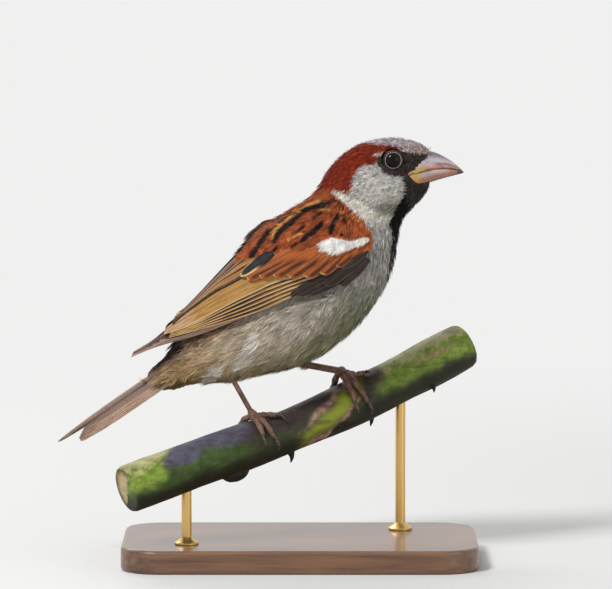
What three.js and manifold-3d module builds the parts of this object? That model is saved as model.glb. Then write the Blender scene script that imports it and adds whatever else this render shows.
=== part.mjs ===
// A male house sparrow at life size, perched on a cut length of rose stem that two rods hold over a base.
// Millimetres, +Z up. The bill points to +X and the bird's right side faces -Y.
// The origin is the centre of the base's underside.

import * as THREE from "three";
import { mergeVertices } from "three/addons/utils/BufferGeometryUtils.js";
import Module from "manifold-3d";

const wasm = await Module();
wasm.setup();

// ---- driving dimensions ----

const gap = 0.3; // clearance between pieces that touch
const standOff = 0.02; // clearance under a piece that stands on another
const fineness = 0.02; // triangles that change the surface by less than this are merged

// Body sections from the brow to the tail coverts: [x, z] on the back, [x, z] on the belly, half width.
const bodySections = [
  { back: [40.2, 119.4], belly: [40.2, 118.2], half: 0 }, // brow, behind the bill
  { back: [39.5, 122.4], belly: [39.4, 113.2], half: 3.4 }, // forehead and chin
  { back: [35.6, 125.6], belly: [37.0, 108.7], half: 5.5 }, // lores
  { back: [28.4, 127.0], belly: [33.8, 105.3], half: 9.0 }, // eyes
  { back: [19.6, 126.1], belly: [31.4, 102.7], half: 10.6 }, // ear coverts
  { back: [12.2, 122.2], belly: [30.4, 99.7], half: 11.0 }, // back of the head
  { back: [7.0, 116.6], belly: [30.1, 96.7], half: 12.0 }, // neck
  { back: [3.5, 110.3], belly: [29.5, 93.0], half: 14.2 }, // foot of the neck
  { back: [-3.6, 106.0], belly: [28.4, 87.0], half: 16.8 }, // shoulders
  { back: [-10.9, 100.8], belly: [24.9, 79.5], half: 18.8 }, // breast
  { back: [-16.9, 94.6], belly: [19.4, 71.6], half: 19.7 }, // keel
  { back: [-22.6, 87.2], belly: [11.0, 63.6], half: 19.3 }, // belly
  { back: [-28.0, 79.9], belly: [1.0, 58.0], half: 17.4 }, // flanks
  { back: [-33.0, 73.4], belly: [-9.5, 55.4], half: 14.4 }, // thighs
  { back: [-37.6, 67.6], belly: [-20.5, 53.6], half: 11.0 }, // vent
  { back: [-41.2, 62.4], belly: [-31.0, 52.2], half: 7.6 }, // rump
  { back: [-44.6, 57.4], belly: [-39.5, 50.8], half: 4.6 }, // tail coverts
  { back: [-47.2, 53.4], belly: [-45.6, 51.4], half: 0 },
];
const cheekFullness = 0.1; // how much wider a section is low down than high up
const neckCuts = [4.75, 7.1]; // where the neck starts and ends, counted in body sections

const bill = {
  root: [32.4, 115.4], // inside the head
  crest: [39.5, 118.6], // the middle line bends here
  tip: [48.8, 116.3],
  depthAbove: 5.7, // culmen over the gape line at the face
  depthBelow: 3.9, // gonys under it
  halfWidth: 4.3,
  face: 38.6, // x where the feathers end
  cone: 1.25, // its outline is a cone at 1 and rounder above it
  bluntness: 0.8,
  ridge: 0.25, // how much narrower it is near the culmen
  ends: [0.3, 0.02],
  // the line between its two halves
  gape: [[31.0, 114.6], [34.6, 116.6], [40, 117.0], [44, 117.2], [51, 116.4]],
};

const eye = { at: [27.5, 120.4], radius: 3.0, centreOut: 6.35 };

// The folded wing lies on a long axis from the bend to the tip, in side view. Its graphs give, against
// the share of the way to the tip, how far it reaches above and below the axis, and how far its upper
// edge and its bulge lie from the body's midplane.
const wing = {
  bend: [20.2, 94.0],
  tip: [-50.2, 61.4],
  wrap: 1.92, // radians of body that the wing covers, from its upper edge
  thinnest: 0.3, // its section never gets smaller than this
  room: { end: 0.03, under: -1.2, over: 6.2, edge: 1.6 }, // what the body leaves free
};
const wingGraphs = {
  above: [[0, 3.6], [0.1, 9.4], [0.2, 13.6], [0.3, 16.4], [0.4, 16], [0.5, 13], [0.7, 6.6], [0.9, 1.3],
    [1, 0.4]],
  below: [[0, -3.8], [0.06, -5.2], [0.12, -5.6], [0.3, -4.2], [0.6, -3.2], [0.8, -1.2], [0.93, 0], [1, 0]],
  edgeOut: [[0, 13], [0.1, 9.6], [0.2, 7.4], [0.45, 3.6], [0.6, 2.2], [0.75, 1.8], [0.9, 2.6], [1, 3.4]],
  bulgeOut: [[0, 15.6], [0.1, 17], [0.35, 18], [0.5, 16.4], [0.65, 12.4], [0.8, 7.8], [0.9, 5.4], [1, 4.4]],
};
// Layers of the folded wing, from the lowest: shares of the length and of the wrap, the heights of the two
// surfaces, the shares over which the ends are round, and where the layer steps up from the body.
const wingLayers = {
  primaries: { from: 0.3, to: 1, top: 0.55, bottom: 1, inner: 0, outer: 0.9, ends: [0.2, 0.12] },
  secondaries: { from: 0.26, to: 0.86, top: 0, bottom: 0.9, inner: 1.25, outer: 2, ends: [0.2, 0.12] },
  coverts: { from: 0, to: 0.53, top: 0, bottom: 1, inner: 2.6, outer: 3.2, ends: [0.2, 0.3] },
};
const wingSteps = {
  primaries: () => 1,
  secondaries: (along, wrap) => smoothstep(wrap, 0.25, 0.44),
  coverts: (along) => smoothstep(along, 0.08, 0.2),
};
const freeTip = [0.885, 0.95]; // past here the primaries span the whole wrap

const tail = {
  root: [-37.8, 57.8],
  slope: 0.585, // radians below the horizon
  roll: 0.38, // the right edge hangs lower
  feathers: 6, // on each side
  halfWidth: 3.9,
  narrowing: 0.5, // width at the root against halfWidth, which no feather quite reaches
  broadening: 0.86,
  thick: 0.56,
  step: 0.36, // each feather lies this far under the one before
  spread: [1.85, 0.5], // the first root's distance from the middle, and from each root to the next
  fan: [0.024, 0.021], // radians outward of the first feather, and more for each after it
  leftLength: 39.7,
  rightLength: 34.9,
  notch: 2.2, // the middle pair is shorter by this
  room: 2.1, // half the height that the body leaves free for it
};

// The stem's centre line, its right end farther back, and its thickness.
const perchLine = [[-51, -25.5, 24.4], [-27, -13.5, 32.0], [-9, -4.5, 37.2], [6, 3, 42.5], [18, 9, 47.3],
  [30, 15, 52.7], [50, 25, 62.2]];
const perchRadius = 6.85;
const perchSwells = [{ height: 0.25, waves: 9.5, start: 0 }, { height: 0.2, waves: 21, start: 1 }];
const leafScar = { at: 0.29, turn: 2.9, radius: 3.1, sunk: 0.9, stretch: 1.5 };
const prickle = { root: 1.1, point: 0.12, height: 2.4, hook: -1.2, sunk: 0.8 };
const prickles = [
  { at: 0.1, turn: 4.2 },
  { at: 0.45, turn: 3.0 },
  { at: 0.69, turn: 3.2 },
  { at: 0.86, turn: 2.4 },
];

// Legs: where the feathered thigh starts and ends, where along the stem the foot stands, and how high.
const legs = {
  right: { hip: [-7.5, -9.6, 67.5], heel: [-20.2, -9.2, 55.7], stands: 0.378, lift: 0 },
  left: { hip: [-4.5, 9.6, 67.5], heel: [3.0, 8.8, 57.6], stands: 0.652, lift: 2.0 },
};
const thigh = { rootRadius: 6.2, heelRadius: 1.8, flatness: 0.62, ends: [0.35, 0.04] };
const shank = { radius: 1.05, heelRadius: 1.45, footRadius: 1.5, heelShare: 0.14, footShare: 0.16 };
// Toes in the stem's own terms: radians round it from the top, and millimetres along it. Toe 1 points back.
const toes = {
  right: [
    { turn: [-0.1, -1.25], along: [-0.6, -3.0], claw: 0.55 },
    { turn: [0.1, 0.5], along: [0.8, 6.4], claw: 0.34 },
    { turn: [0.12, 1.4], along: [0.3, 1.8], claw: 0.48 },
    { turn: [0.1, 1.15], along: [-0.6, -1.4], claw: 0.48 },
  ],
  left: [
    { turn: [-0.1, -1.25], along: [-0.6, -2.6], claw: 0.55 },
    { turn: [0.1, 1.3], along: [-0.8, -2.2], claw: 0.48 },
    { turn: [0.12, 1.55], along: [0.4, 1.5], claw: 0.48 },
    { turn: [0.05, 0.25], along: [0.8, 6.6], claw: 0.3 },
  ],
};
const toe = { rootRadius: 1.05, tipRadius: 0.78, pads: 3, padSwell: 0.1, settles: 0.45 };
const claw = { radius: 0.6, point: 0.1, arch: 0.75, sink: 0.52, start: [0.06, 0.3], drift: 0.12 };

const base = { length: 106, width: 64, height: 7, corner: 12, round: 1 };
const rod = { radius: 1.5, footRadius: 3.6, footHeight: 1.6, stands: { low: 0.17, high: 0.8 } };

// ---- helpers ----

const { clamp, lerp, smoothstep } = THREE.MathUtils;
const vector = (x = 0, y = 0, z = 0) => new THREE.Vector3(x, y, z);
const flat = ([x, z], y = 0) => vector(x, y, z); // a point of the side view
const [unitX, unitY, unitZ] = [vector(1, 0, 0), vector(0, 1, 0), vector(0, 0, 1)];

// A smooth curve of values through [place, value] pairs.
function graph(pairs) {
  const line = new THREE.SplineCurve(pairs.map(([place, value]) => new THREE.Vector2(place, value)));
  return (place) => {
    let low = 0;
    let high = 1;
    for (let i = 0; i < 24; i++) {
      const middle = (low + high) / 2;
      if (line.getPoint(middle).x < place) low = middle;
      else high = middle;
    }
    return line.getPoint((low + high) / 2).y;
  };
}

// A geometry as a solid whose faces point out.
function solid(geometry) {
  const bare = geometry.clone();
  for (const name of ["normal", "uv"]) bare.deleteAttribute(name);
  const merged = mergeVertices(bare, 1e-4);
  const vertProperties = merged.getAttribute("position").array;
  const triVerts = new Uint32Array(merged.index.array);
  const made = () => new wasm.Manifold(new wasm.Mesh({ numProp: 3, vertProperties, triVerts }));
  if (made().volume() > 0) return made();
  triVerts.reverse();
  return made();
}

// A closed shape with flat ends: place(share of the way, angle, 1 on its side or 0 in the middle of an end).
function barrel(along, around, place) {
  const geometry = new THREE.CylinderGeometry(1, 1, 1, around, along);
  const spots = geometry.getAttribute("position");
  for (let i = 0; i < spots.count; i++) {
    const [x, y, z] = [spots.getX(i), spots.getY(i), spots.getZ(i)];
    const spot = place(0.5 - y, Math.atan2(x, z), Math.hypot(x, z) < 0.5 ? 0 : 1);
    spots.setXYZ(i, spot.x, spot.y, spot.z);
  }
  return solid(geometry);
}

// A closed shape from place(share of the way, angle), whose two ends close at the middle of their sections.
function blob(along, around, place) {
  const geometry = new THREE.SphereGeometry(1, around, along);
  const spots = geometry.getAttribute("position");
  const uv = geometry.getAttribute("uv");
  for (let i = 0; i < spots.count; i++) {
    const share = 1 - uv.getY(i);
    const isPole = share < 1e-6 || share > 1 - 1e-6;
    const spot = isPole
      ? place(Math.round(share), 0).lerp(place(Math.round(share), Math.PI), 0.5)
      : place(share, (uv.getX(i) % 1) * 2 * Math.PI);
    spots.setXYZ(i, spot.x, spot.y, spot.z);
  }
  return solid(geometry);
}

// 1 in the middle of a blade and round towards its two ends.
const quarter = (share) => Math.sqrt(1 - clamp(1 - share, 0, 1) ** 2);
const roundEnds = (share, front, rear) => quarter(share / front) * quarter((1 - share) / rear);

// A sine with a flatter top and steeper sides.
const squared = (angle, power) => Math.sign(Math.sin(angle)) * Math.abs(Math.sin(angle)) ** power;

// A round limb along a curve, with radius(share) and round ends.
function limb(curve, radius, along = 8, around = 7) {
  return blob(along, around, (share, angle) => {
    const s = clamp(share, 5e-4, 1 - 5e-4);
    const way = curve.getTangent(s);
    const side = vector().crossVectors(way, Math.abs(way.y) > 0.8 ? unitX : unitY).normalize();
    const up = vector().crossVectors(side, way);
    const r = radius(s) * roundEnds(share, 0.06, 0.06);
    const spot = curve.getPoint(s).addScaledVector(side, r * Math.cos(angle));
    return spot.addScaledVector(up, r * Math.sin(angle));
  });
}

// The largest body of a cut piece, so that a sliver left by a cut goes.
function largest(made) {
  return made.decompose().sort((a, b) => b.volume() - a.volume())[0];
}

function meshOf(name, made, colour, roughness = 0.8, metalness = 0) {
  const { numProp, vertProperties, triVerts } = largest(made.simplify(fineness)).getMesh();
  const geometry = new THREE.BufferGeometry();
  geometry.setAttribute("position", new THREE.BufferAttribute(vertProperties.slice(), numProp));
  geometry.setIndex(new THREE.BufferAttribute(triVerts.slice(), 1));
  geometry.computeVertexNormals();
  const material = new THREE.MeshStandardMaterial({ color: colour, roughness, metalness });
  const mesh = new THREE.Mesh(geometry, material);
  mesh.name = name;
  return mesh;
}

// ---- body ----

const backLine = new THREE.CatmullRomCurve3(bodySections.map(({ back, half }) => flat(back, half)));
const bellyLine = new THREE.CatmullRomCurve3(bodySections.map(({ belly, half }) => flat(belly, half)));

function bodySolid() {
  return blob(28, 18, (share, angle) => {
    const back = backLine.getPoint(share);
    const belly = bellyLine.getPoint(share);
    const half = Math.max(0, back.y);
    back.y = belly.y = 0;
    const centre = back.clone().lerp(belly, 0.5);
    const up = back.sub(centre);
    const across = half * Math.sin(angle) * (1 - cheekFullness * Math.cos(angle));
    return centre.addScaledVector(up, Math.cos(angle)).setY(across);
  });
}

// The plane across the body at a section number, as a normal that points to the tail and its offset.
function sectionPlane(number) {
  const share = number / (bodySections.length - 1);
  const back = backLine.getPoint(share).setY(0);
  const belly = bellyLine.getPoint(share).setY(0);
  const normal = vector().crossVectors(unitY, back.clone().sub(belly)).normalize();
  if (normal.x > 0) normal.negate();
  return { normal, offset: normal.dot(back) };
}

// What lies past a plane, on the side its normal points to, or before it, kept half a gap away.
const past = (made, { normal, offset }) => made.trimByPlane(normal.toArray(), offset + gap / 2);
const before = (made, { normal, offset }) =>
  made.trimByPlane(normal.clone().negate().toArray(), gap / 2 - offset);

// ---- bill and eyes ----

function billSolid(grow = 0) {
  const line = new THREE.QuadraticBezierCurve3(flat(bill.root), flat(bill.crest), flat(bill.tip));
  const faceShare = (bill.face - bill.root[0]) / (bill.tip[0] - bill.root[0]);
  const bare = (share) => clamp((share - faceShare) / (1 - faceShare), 0, 1);
  const taper = (share) => (1 - bare(share) ** bill.cone) ** bill.bluntness;
  return blob(12, 14, (share, angle) => {
    const centre = line.getPoint(share);
    const size = taper(share) * roundEnds(share, ...bill.ends);
    const deep = Math.cos(angle) > 0 ? bill.depthAbove : bill.depthBelow;
    const ridged = 1 - bill.ridge * Math.max(0, Math.cos(angle)) * Math.sin(angle) ** 2;
    const across = (bill.halfWidth * size * ridged + grow) * Math.sin(angle);
    return centre.add(vector(0, across, (deep * size + grow) * Math.cos(angle)));
  });
}

// The gape line as a thin sheet right through the bill.
function gapeCut() {
  const under = bill.gape.map(([x, z]) => [x, z - gap]).reverse();
  const outline = new THREE.Shape([...bill.gape, ...under].map(([x, z]) => new THREE.Vector2(x, z)));
  const depth = 14;
  const sheet = new THREE.ExtrudeGeometry(outline, { depth, bevelEnabled: false });
  return solid(sheet.rotateX(Math.PI / 2).translate(0, depth / 2, 0));
}

function eyeBall(side, grow = 0) {
  const radius = eye.radius + grow;
  const shape = new THREE.SphereGeometry(radius, 12, 8);
  return solid(shape.translate(eye.at[0], side * eye.centreOut, eye.at[1]));
}

// ---- wings ----

const wingAxis = flat(wing.tip).sub(flat(wing.bend));
const wingUp = vector(wingAxis.z, 0, -wingAxis.x).normalize();
const readWing = Object.values(wingGraphs).map(graph);

// A point of the folded wing: share of the way to the tip, share of the wrap, height over the inner surface.
function wingPoint(side, along, wrap, height) {
  const [above, below, edge, bulge] = readWing.map((read) => read(along));
  const turn = wing.wrap * wrap;
  const tall = Math.max(wing.thinnest, (above - below) / (1 - Math.cos(wing.wrap)));
  const wide = Math.max(wing.thinnest, bulge - edge);
  const normal = new THREE.Vector2(Math.cos(turn) / tall, Math.sin(turn) / wide).normalize();
  const up = above - tall + tall * Math.cos(turn) + height * normal.x;
  const out = edge + wide * Math.sin(turn) + height * normal.y;
  return flat(wing.bend).addScaledVector(wingAxis, along).addScaledVector(wingUp, up).setY(side * out);
}

// A layer of the wing. It lies on the layers below it and reaches down to the body where they aren't.
function wingLayer(side, name) {
  const { from, to, top, bottom, inner, outer, ends } = wingLayers[name];
  return blob(12, 12, (share, angle) => {
    const along = lerp(from, to, share);
    const start = lerp(top, 0, smoothstep(along, ...freeTip));
    const half = ((bottom - start) / 2) * roundEnds(share, ...ends);
    const wrap = (start + bottom) / 2 - half * Math.cos(angle);
    const low = inner * wingSteps[name](along, wrap);
    const rim = squared(angle, 0.6) * roundEnds(share, 0.04, 0.03);
    return wingPoint(side, along, wrap, lerp(low, outer, (1 + rim) / 2));
  });
}

// What the body leaves free for the wing: from under its inner surface to well outside.
function wingRoom(side) {
  const { end, under, over, edge } = wing.room;
  return blob(14, 14, (share, angle) => {
    const along = lerp(-end, 1 + end, share);
    const half = (0.5 + end) * roundEnds(share, 0.1, 0.1);
    const rim = squared(angle, 0.25) * roundEnds(share, 0.03, 0.03);
    const height = lerp(edge, rim < 0 ? under : over, Math.abs(rim));
    return wingPoint(side, along, 0.5 - half * Math.cos(angle), height);
  });
}

// ---- tail ----

const tailWay = vector(-Math.cos(tail.slope), 0, -Math.sin(tail.slope));
const tailUp = vector(-Math.sin(tail.slope), 0, Math.cos(tail.slope)).applyAxisAngle(tailWay, -tail.roll);
const tailAcross = vector().crossVectors(tailWay, tailUp).normalize();

// Directions of a half of the tail, and the place and way of one of its feathers, counted from the middle.
// side is -1 for the bird's right.
function tailFrame(side, number) {
  const outward = tailAcross.y * side > 0 ? tailAcross : tailAcross.clone().negate();
  const angle = tail.fan[0] + tail.fan[1] * number;
  const way = tailWay.clone().multiplyScalar(Math.cos(angle)).addScaledVector(outward, Math.sin(angle));
  const across = outward.clone().multiplyScalar(Math.cos(angle)).addScaledVector(tailWay, -Math.sin(angle));
  const root = flat(tail.root).addScaledVector(outward, tail.spread[0] + tail.spread[1] * number);
  return { way, across, root: root.addScaledVector(tailUp, -tail.step * number) };
}

const tailBreadth = (share) =>
  tail.halfWidth * lerp(tail.narrowing, tail.broadening, smoothstep(share, 0, 0.75));

function tailFeather(side, number, grow) {
  const { way, across, root } = tailFrame(side, number);
  const fullLength = side < 0 ? tail.rightLength : tail.leftLength;
  const length = fullLength - tail.notch * Math.max(0, 1 - number / 3);
  return blob(6, 6, (share, angle) => {
    const wide = (tailBreadth(share) + grow) * roundEnds(share, 0.03, 0.18);
    const thick = (tail.thick / 2 + grow) * roundEnds(share, 0.03, 0.05);
    const spot = root.clone().addScaledVector(way, length * share);
    spot.addScaledVector(across, wide * Math.cos(angle));
    return spot.addScaledVector(tailUp, thick * Math.sin(angle));
  });
}

function tailHalf(side, grow = 0) {
  const feathers = Array.from({ length: tail.feathers }, (_, number) => tailFeather(side, number, grow));
  return feathers.reduce((joined, feather) => joined.add(feather));
}

// What the body leaves free for a half of the tail: one slab round all its feathers.
function tailRoom(side) {
  const [inner, outer] = [tailFrame(side, 0), tailFrame(side, tail.feathers - 1)];
  return barrel(4, 10, (share, angle, rim) => {
    const reach = lerp(-2 * gap, 0.7 * tail.rightLength, share);
    const breadth = tailBreadth(reach / tail.rightLength) + 2 * gap;
    const near = inner.root.clone().addScaledVector(inner.way, reach);
    near.addScaledVector(inner.across, -breadth);
    const far = outer.root.clone().addScaledVector(outer.way, reach).addScaledVector(outer.across, breadth);
    const up = rim * tail.room * squared(angle, 0.5);
    return near.lerp(far, (1 + rim * Math.cos(angle)) / 2).addScaledVector(tailUp, up);
  });
}

// ---- stem ----

const perchCurve = new THREE.CatmullRomCurve3(perchLine.map(([x, y, z]) => vector(x, y, z)));

// Directions at a share of the stem: along it, up from it, and the way its front faces.
function perchFrame(share) {
  const way = perchCurve.getTangentAt(share);
  const up = unitZ.clone().addScaledVector(way, -way.z).normalize();
  return { centre: perchCurve.getPointAt(share), way, up, front: vector().crossVectors(way, up) };
}

// A point over the stem's surface: share along it, radians from its top towards the front, height.
function overPerch(share, turn, height, along = 0) {
  const { centre, way, up, front } = perchFrame(clamp(share + along / perchCurve.getLength(), 0, 1));
  const out = perchRadius + height;
  return centre.addScaledVector(up, out * Math.cos(turn)).addScaledVector(front, out * Math.sin(turn));
}

function perchSolid(grow = 0) {
  return barrel(16, 12, (share, angle, reach) => {
    const swells = perchSwells.map(({ height, waves, start }) => height * Math.sin(share * waves + start));
    const swell = swells.reduce((sum, height) => sum + height);
    return overPerch(share, angle, reach ? swell + grow : -perchRadius);
  });
}

function leafScarSolid() {
  const { at, turn, radius, sunk, stretch } = leafScar;
  const { centre: inside, way } = perchFrame(at);
  const centre = overPerch(at, turn, -sunk);
  const out = centre.clone().sub(inside).normalize();
  const side = vector().crossVectors(way, out);
  return blob(6, 8, (share, angle) => {
    const reach = radius * Math.sin(Math.PI * share);
    const spot = centre.clone().addScaledVector(out, radius * Math.cos(Math.PI * share));
    spot.addScaledVector(way, stretch * reach * Math.cos(angle));
    return spot.addScaledVector(side, reach * Math.sin(angle));
  });
}

function prickleSolid({ at, turn }) {
  const { root, point, height, hook, sunk } = prickle;
  const line = new THREE.LineCurve3(overPerch(at, turn, -sunk), overPerch(at, turn, height, hook));
  return limb(line, (s) => lerp(root, 0, s) + point, 4, 6);
}

// ---- legs ----

const standPoint = ({ stands, lift }) => overPerch(stands, 0, shank.footRadius + gap + lift);

function thighSolid(leg, grow = 0) {
  const line = new THREE.LineCurve3(vector(...leg.hip), vector(...leg.heel));
  const up = vector().crossVectors(line.getTangent(0), unitY).normalize();
  const radius = (s) => lerp(thigh.rootRadius, thigh.heelRadius, s ** 0.8) + grow;
  return blob(8, 10, (share, angle) => {
    const r = radius(share) * roundEnds(share, ...thigh.ends);
    const across = r * thigh.flatness * Math.cos(angle);
    return line.getPoint(share).addScaledVector(unitY, across).addScaledVector(up, r * Math.sin(angle));
  });
}

// The bare shank from the heel to the ball of the foot.
function shankCurve(leg) {
  const foot = standPoint(leg);
  const heel = vector(...leg.heel);
  const way = foot.clone().sub(heel).normalize();
  return new THREE.LineCurve3(heel.addScaledVector(way, 2 * gap), foot);
}

function shankRadius(share) {
  const heel = shank.heelRadius * Math.exp(-((share / shank.heelShare) ** 2));
  const foot = shank.footRadius * Math.exp(-(((1 - share) / shank.footShare) ** 2));
  return Math.max(shank.radius, heel + foot);
}

function toeCurve(leg, { turn, along }) {
  const points = [0, 0.25, 0.5, 0.75, 1].map((s) => {
    const settling = leg.lift * Math.max(0, 1 - s / toe.settles);
    const height = gap + lerp(toe.rootRadius, toe.tipRadius, s) + settling;
    return overPerch(leg.stands, lerp(turn[0], turn[1], s), height, lerp(along[0], along[1], s));
  });
  return new THREE.CatmullRomCurve3(points);
}

const toeRadius = (s) =>
  lerp(toe.rootRadius, toe.tipRadius, s) * (1 + toe.padSwell * Math.cos(2 * Math.PI * toe.pads * s));

const toeSolid = (leg, grip, grow = 0) => limb(toeCurve(leg, grip), (s) => toeRadius(s) + grow, 8, 6);

function knuckleSolid(leg, grow = 0) {
  const shape = new THREE.SphereGeometry(shank.footRadius + grow, 8, 6);
  return solid(shape.translate(...standPoint(leg).toArray()));
}

const footSolid = (leg, grips, grow = 0) =>
  grips.reduce((foot, grip) => foot.add(toeSolid(leg, grip, grow)), knuckleSolid(leg, grow));

function clawSolid(leg, { turn, along, claw: reach }) {
  const way = Math.sign(turn[1]);
  const drift = along[1] - along[0];
  const at = (s) => {
    const height = gap + toe.tipRadius + claw.arch * Math.sin(Math.PI * s) - claw.sink * s;
    const round = turn[1] + way * (claw.start[0] + reach * s);
    const aside = along[1] + Math.sign(drift) * claw.start[1] + claw.drift * drift * s;
    return overPerch(leg.stands, round, height, aside);
  };
  const curve = new THREE.CatmullRomCurve3([0, 1 / 3, 2 / 3, 1].map(at));
  return limb(curve, (s) => claw.radius * (1 - s) ** 0.8 + claw.point, 6, 5);
}

// ---- stand ----

function baseSolid() {
  const { length, width, height, corner, round } = base;
  const outline = new THREE.Shape();
  const [halfLong, halfWide] = [length / 2 - round, width / 2 - round];
  const inset = corner - round;
  outline.moveTo(-halfLong + inset, -halfWide);
  outline.absarc(halfLong - inset, -halfWide + inset, inset, -Math.PI / 2, 0);
  outline.absarc(halfLong - inset, halfWide - inset, inset, 0, Math.PI / 2);
  outline.absarc(-halfLong + inset, halfWide - inset, inset, Math.PI / 2, Math.PI);
  outline.absarc(-halfLong + inset, -halfWide + inset, inset, Math.PI, 1.5 * Math.PI);
  const bevel = { bevelThickness: round, bevelSize: round, bevelSegments: 2 };
  const slab = new THREE.ExtrudeGeometry(outline, { depth: height - 2 * round, curveSegments: 3, ...bevel });
  return solid(slab.translate(0, 0, round));
}

// A rod with a flange that stands on the base. Its top is hollowed to seat the stem.
function rodSolid(share) {
  const { x, y, z } = perchCurve.getPointAt(share);
  const { radius, footRadius, footHeight } = rod;
  const foot = base.height + standOff;
  const shoulder = lerp(radius, footRadius, 0.3);
  const profile = [[0, 0], [footRadius, 0], [footRadius, footHeight * 0.4], [shoulder, footHeight],
    [radius, footHeight * 1.4], [radius, z - foot], [0, z - foot]];
  const turned = new THREE.LatheGeometry(profile.map(([r, h]) => new THREE.Vector2(r, h)), 14);
  return solid(turned.rotateX(Math.PI / 2).translate(x, y, foot)).subtract(perchSolid(gap));
}

// ---- assembly ----

const colours = {
  grey: 0x8d8982,
  chestnut: 0x8a3b1e,
  brown: 0x9a6a3e,
  buff: 0xb98c5a,
  black: 0x191614,
  horn: 0xb08d84,
  leg: 0x8f6154,
  claw: 0x3a2a26,
  bark: 0x6f7f34,
  wood: 0x2e2622,
  brass: 0xb08d57,
};
const sides = { right: -1, left: 1 };
const sparrow = new THREE.Group();

const body = bodySolid();
const [headPlane, trunkPlane] = neckCuts.map(sectionPlane);
let head = before(body, headPlane).subtract(billSolid(gap));
let neck = before(past(body, headPlane), trunkPlane);
let trunk = past(body, trunkPlane);
for (const side of Object.values(sides)) {
  head = head.subtract(eyeBall(side, gap));
  neck = neck.subtract(wingRoom(side));
  trunk = trunk.subtract(wingRoom(side)).subtract(tailRoom(side));
}
for (const leg of Object.values(legs)) {
  const shankRoom = limb(shankCurve(leg), () => shank.heelRadius + gap, 4, 8);
  trunk = trunk.subtract(thighSolid(leg, gap)).subtract(shankRoom);
}

const byTop = (a, b) => b.boundingBox().max[2] - a.boundingBox().max[2];
const [billUpper, billLower] = billSolid().subtract(gapeCut()).decompose().sort(byTop);
sparrow.add(
  meshOf("head", head, colours.chestnut),
  meshOf("neck", neck, colours.grey),
  meshOf("trunk", trunk, colours.grey),
  meshOf("bill_upper", billUpper, colours.horn, 0.4),
  meshOf("bill_lower", billLower, colours.horn, 0.4),
);

const tailHalves = { right: tailHalf(sides.right) };
tailHalves.left = tailHalf(sides.left).subtract(tailHalf(sides.right, gap));
for (const [name, side] of Object.entries(sides)) {
  sparrow.add(meshOf(`eye_${name}`, eyeBall(side), colours.black, 0.1));
  sparrow.add(meshOf(`tail_${name}`, tailHalves[name], colours.buff));
  for (const layer of Object.keys(wingLayers))
    sparrow.add(meshOf(`wing_${name}_${layer}`, wingLayer(side, layer), colours.brown));
}

for (const [name, leg] of Object.entries(legs)) {
  const bareShank = limb(shankCurve(leg), shankRadius, 10, 8)
    .subtract(footSolid(leg, toes[name], gap))
    .subtract(thighSolid(leg, gap));
  sparrow.add(
    meshOf(`thigh_${name}`, thighSolid(leg), colours.grey),
    meshOf(`shank_${name}`, bareShank, colours.leg, 0.5),
    meshOf(`foot_${name}`, footSolid(leg, toes[name]), colours.leg, 0.5),
  );
  toes[name].forEach((grip, i) => {
    const nail = clawSolid(leg, grip).subtract(toeSolid(leg, grip, gap));
    sparrow.add(meshOf(`claw_${name}_${i + 1}`, nail, colours.claw, 0.35));
  });
}

const growths = [leafScarSolid(), ...prickles.map(prickleSolid)];
const perch = growths.reduce((stem, growth) => stem.add(growth), perchSolid());
sparrow.add(meshOf("perch", perch, colours.bark, 0.7));
sparrow.add(meshOf("stand_base", baseSolid(), colours.wood, 0.35));
for (const [name, share] of Object.entries(rod.stands))
  sparrow.add(meshOf(`stand_rod_${name}`, rodSolid(share), colours.brass, 0.3, 1));

export default sparrow;
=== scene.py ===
import math
import bmesh
import bpy
import numpy as np
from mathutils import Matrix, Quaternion, Vector, noise
from mathutils.bvhtree import BVHTree
from mathutils.kdtree import KDTree


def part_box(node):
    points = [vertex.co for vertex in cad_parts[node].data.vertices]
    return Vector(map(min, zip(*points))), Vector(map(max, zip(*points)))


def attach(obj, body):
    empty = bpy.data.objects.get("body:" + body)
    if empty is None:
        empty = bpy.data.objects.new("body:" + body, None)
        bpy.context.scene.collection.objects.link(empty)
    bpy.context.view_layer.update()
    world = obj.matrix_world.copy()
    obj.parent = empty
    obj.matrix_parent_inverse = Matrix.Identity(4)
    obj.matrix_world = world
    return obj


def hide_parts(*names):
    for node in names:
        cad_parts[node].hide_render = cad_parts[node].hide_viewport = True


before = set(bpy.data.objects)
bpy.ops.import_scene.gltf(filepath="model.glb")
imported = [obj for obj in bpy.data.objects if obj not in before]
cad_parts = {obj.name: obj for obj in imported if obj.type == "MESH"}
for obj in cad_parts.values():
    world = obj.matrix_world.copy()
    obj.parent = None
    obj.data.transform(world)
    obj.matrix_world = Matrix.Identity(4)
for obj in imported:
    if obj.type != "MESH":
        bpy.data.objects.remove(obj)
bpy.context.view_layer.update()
scene = bpy.context.scene
mm = 0.001  # shapes are worked out in millimetres
sides = {"right": -1, "left": 1}

# Camera, light and floor

view = {"aim": (1.8, 0, 79.8), "elevation": 5, "distance": 1400, "lens": 275.9}
lamps = {
    "key": {"at": (-520, -620, 900), "size": 300, "watts": 8.6},
    "fill": {"at": (760, -620, 260), "size": 700, "watts": 1.6},
    "rim": {"at": (-250, 700, 700), "size": 500, "watts": 3.5},
}
studio = {
    "sky": 0.36, "floor": (0.83, 0.83, 0.82), "floorCloud": (0.78, 0.78, 0.77, 1), "radius": 3000,
    "fades": (0.14, 0.6), "background": (0.87, 0.87, 0.865),
}


def linkObject(name, data):
    made = bpy.data.objects.new(name, data)
    scene.collection.objects.link(made)
    return made


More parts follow.
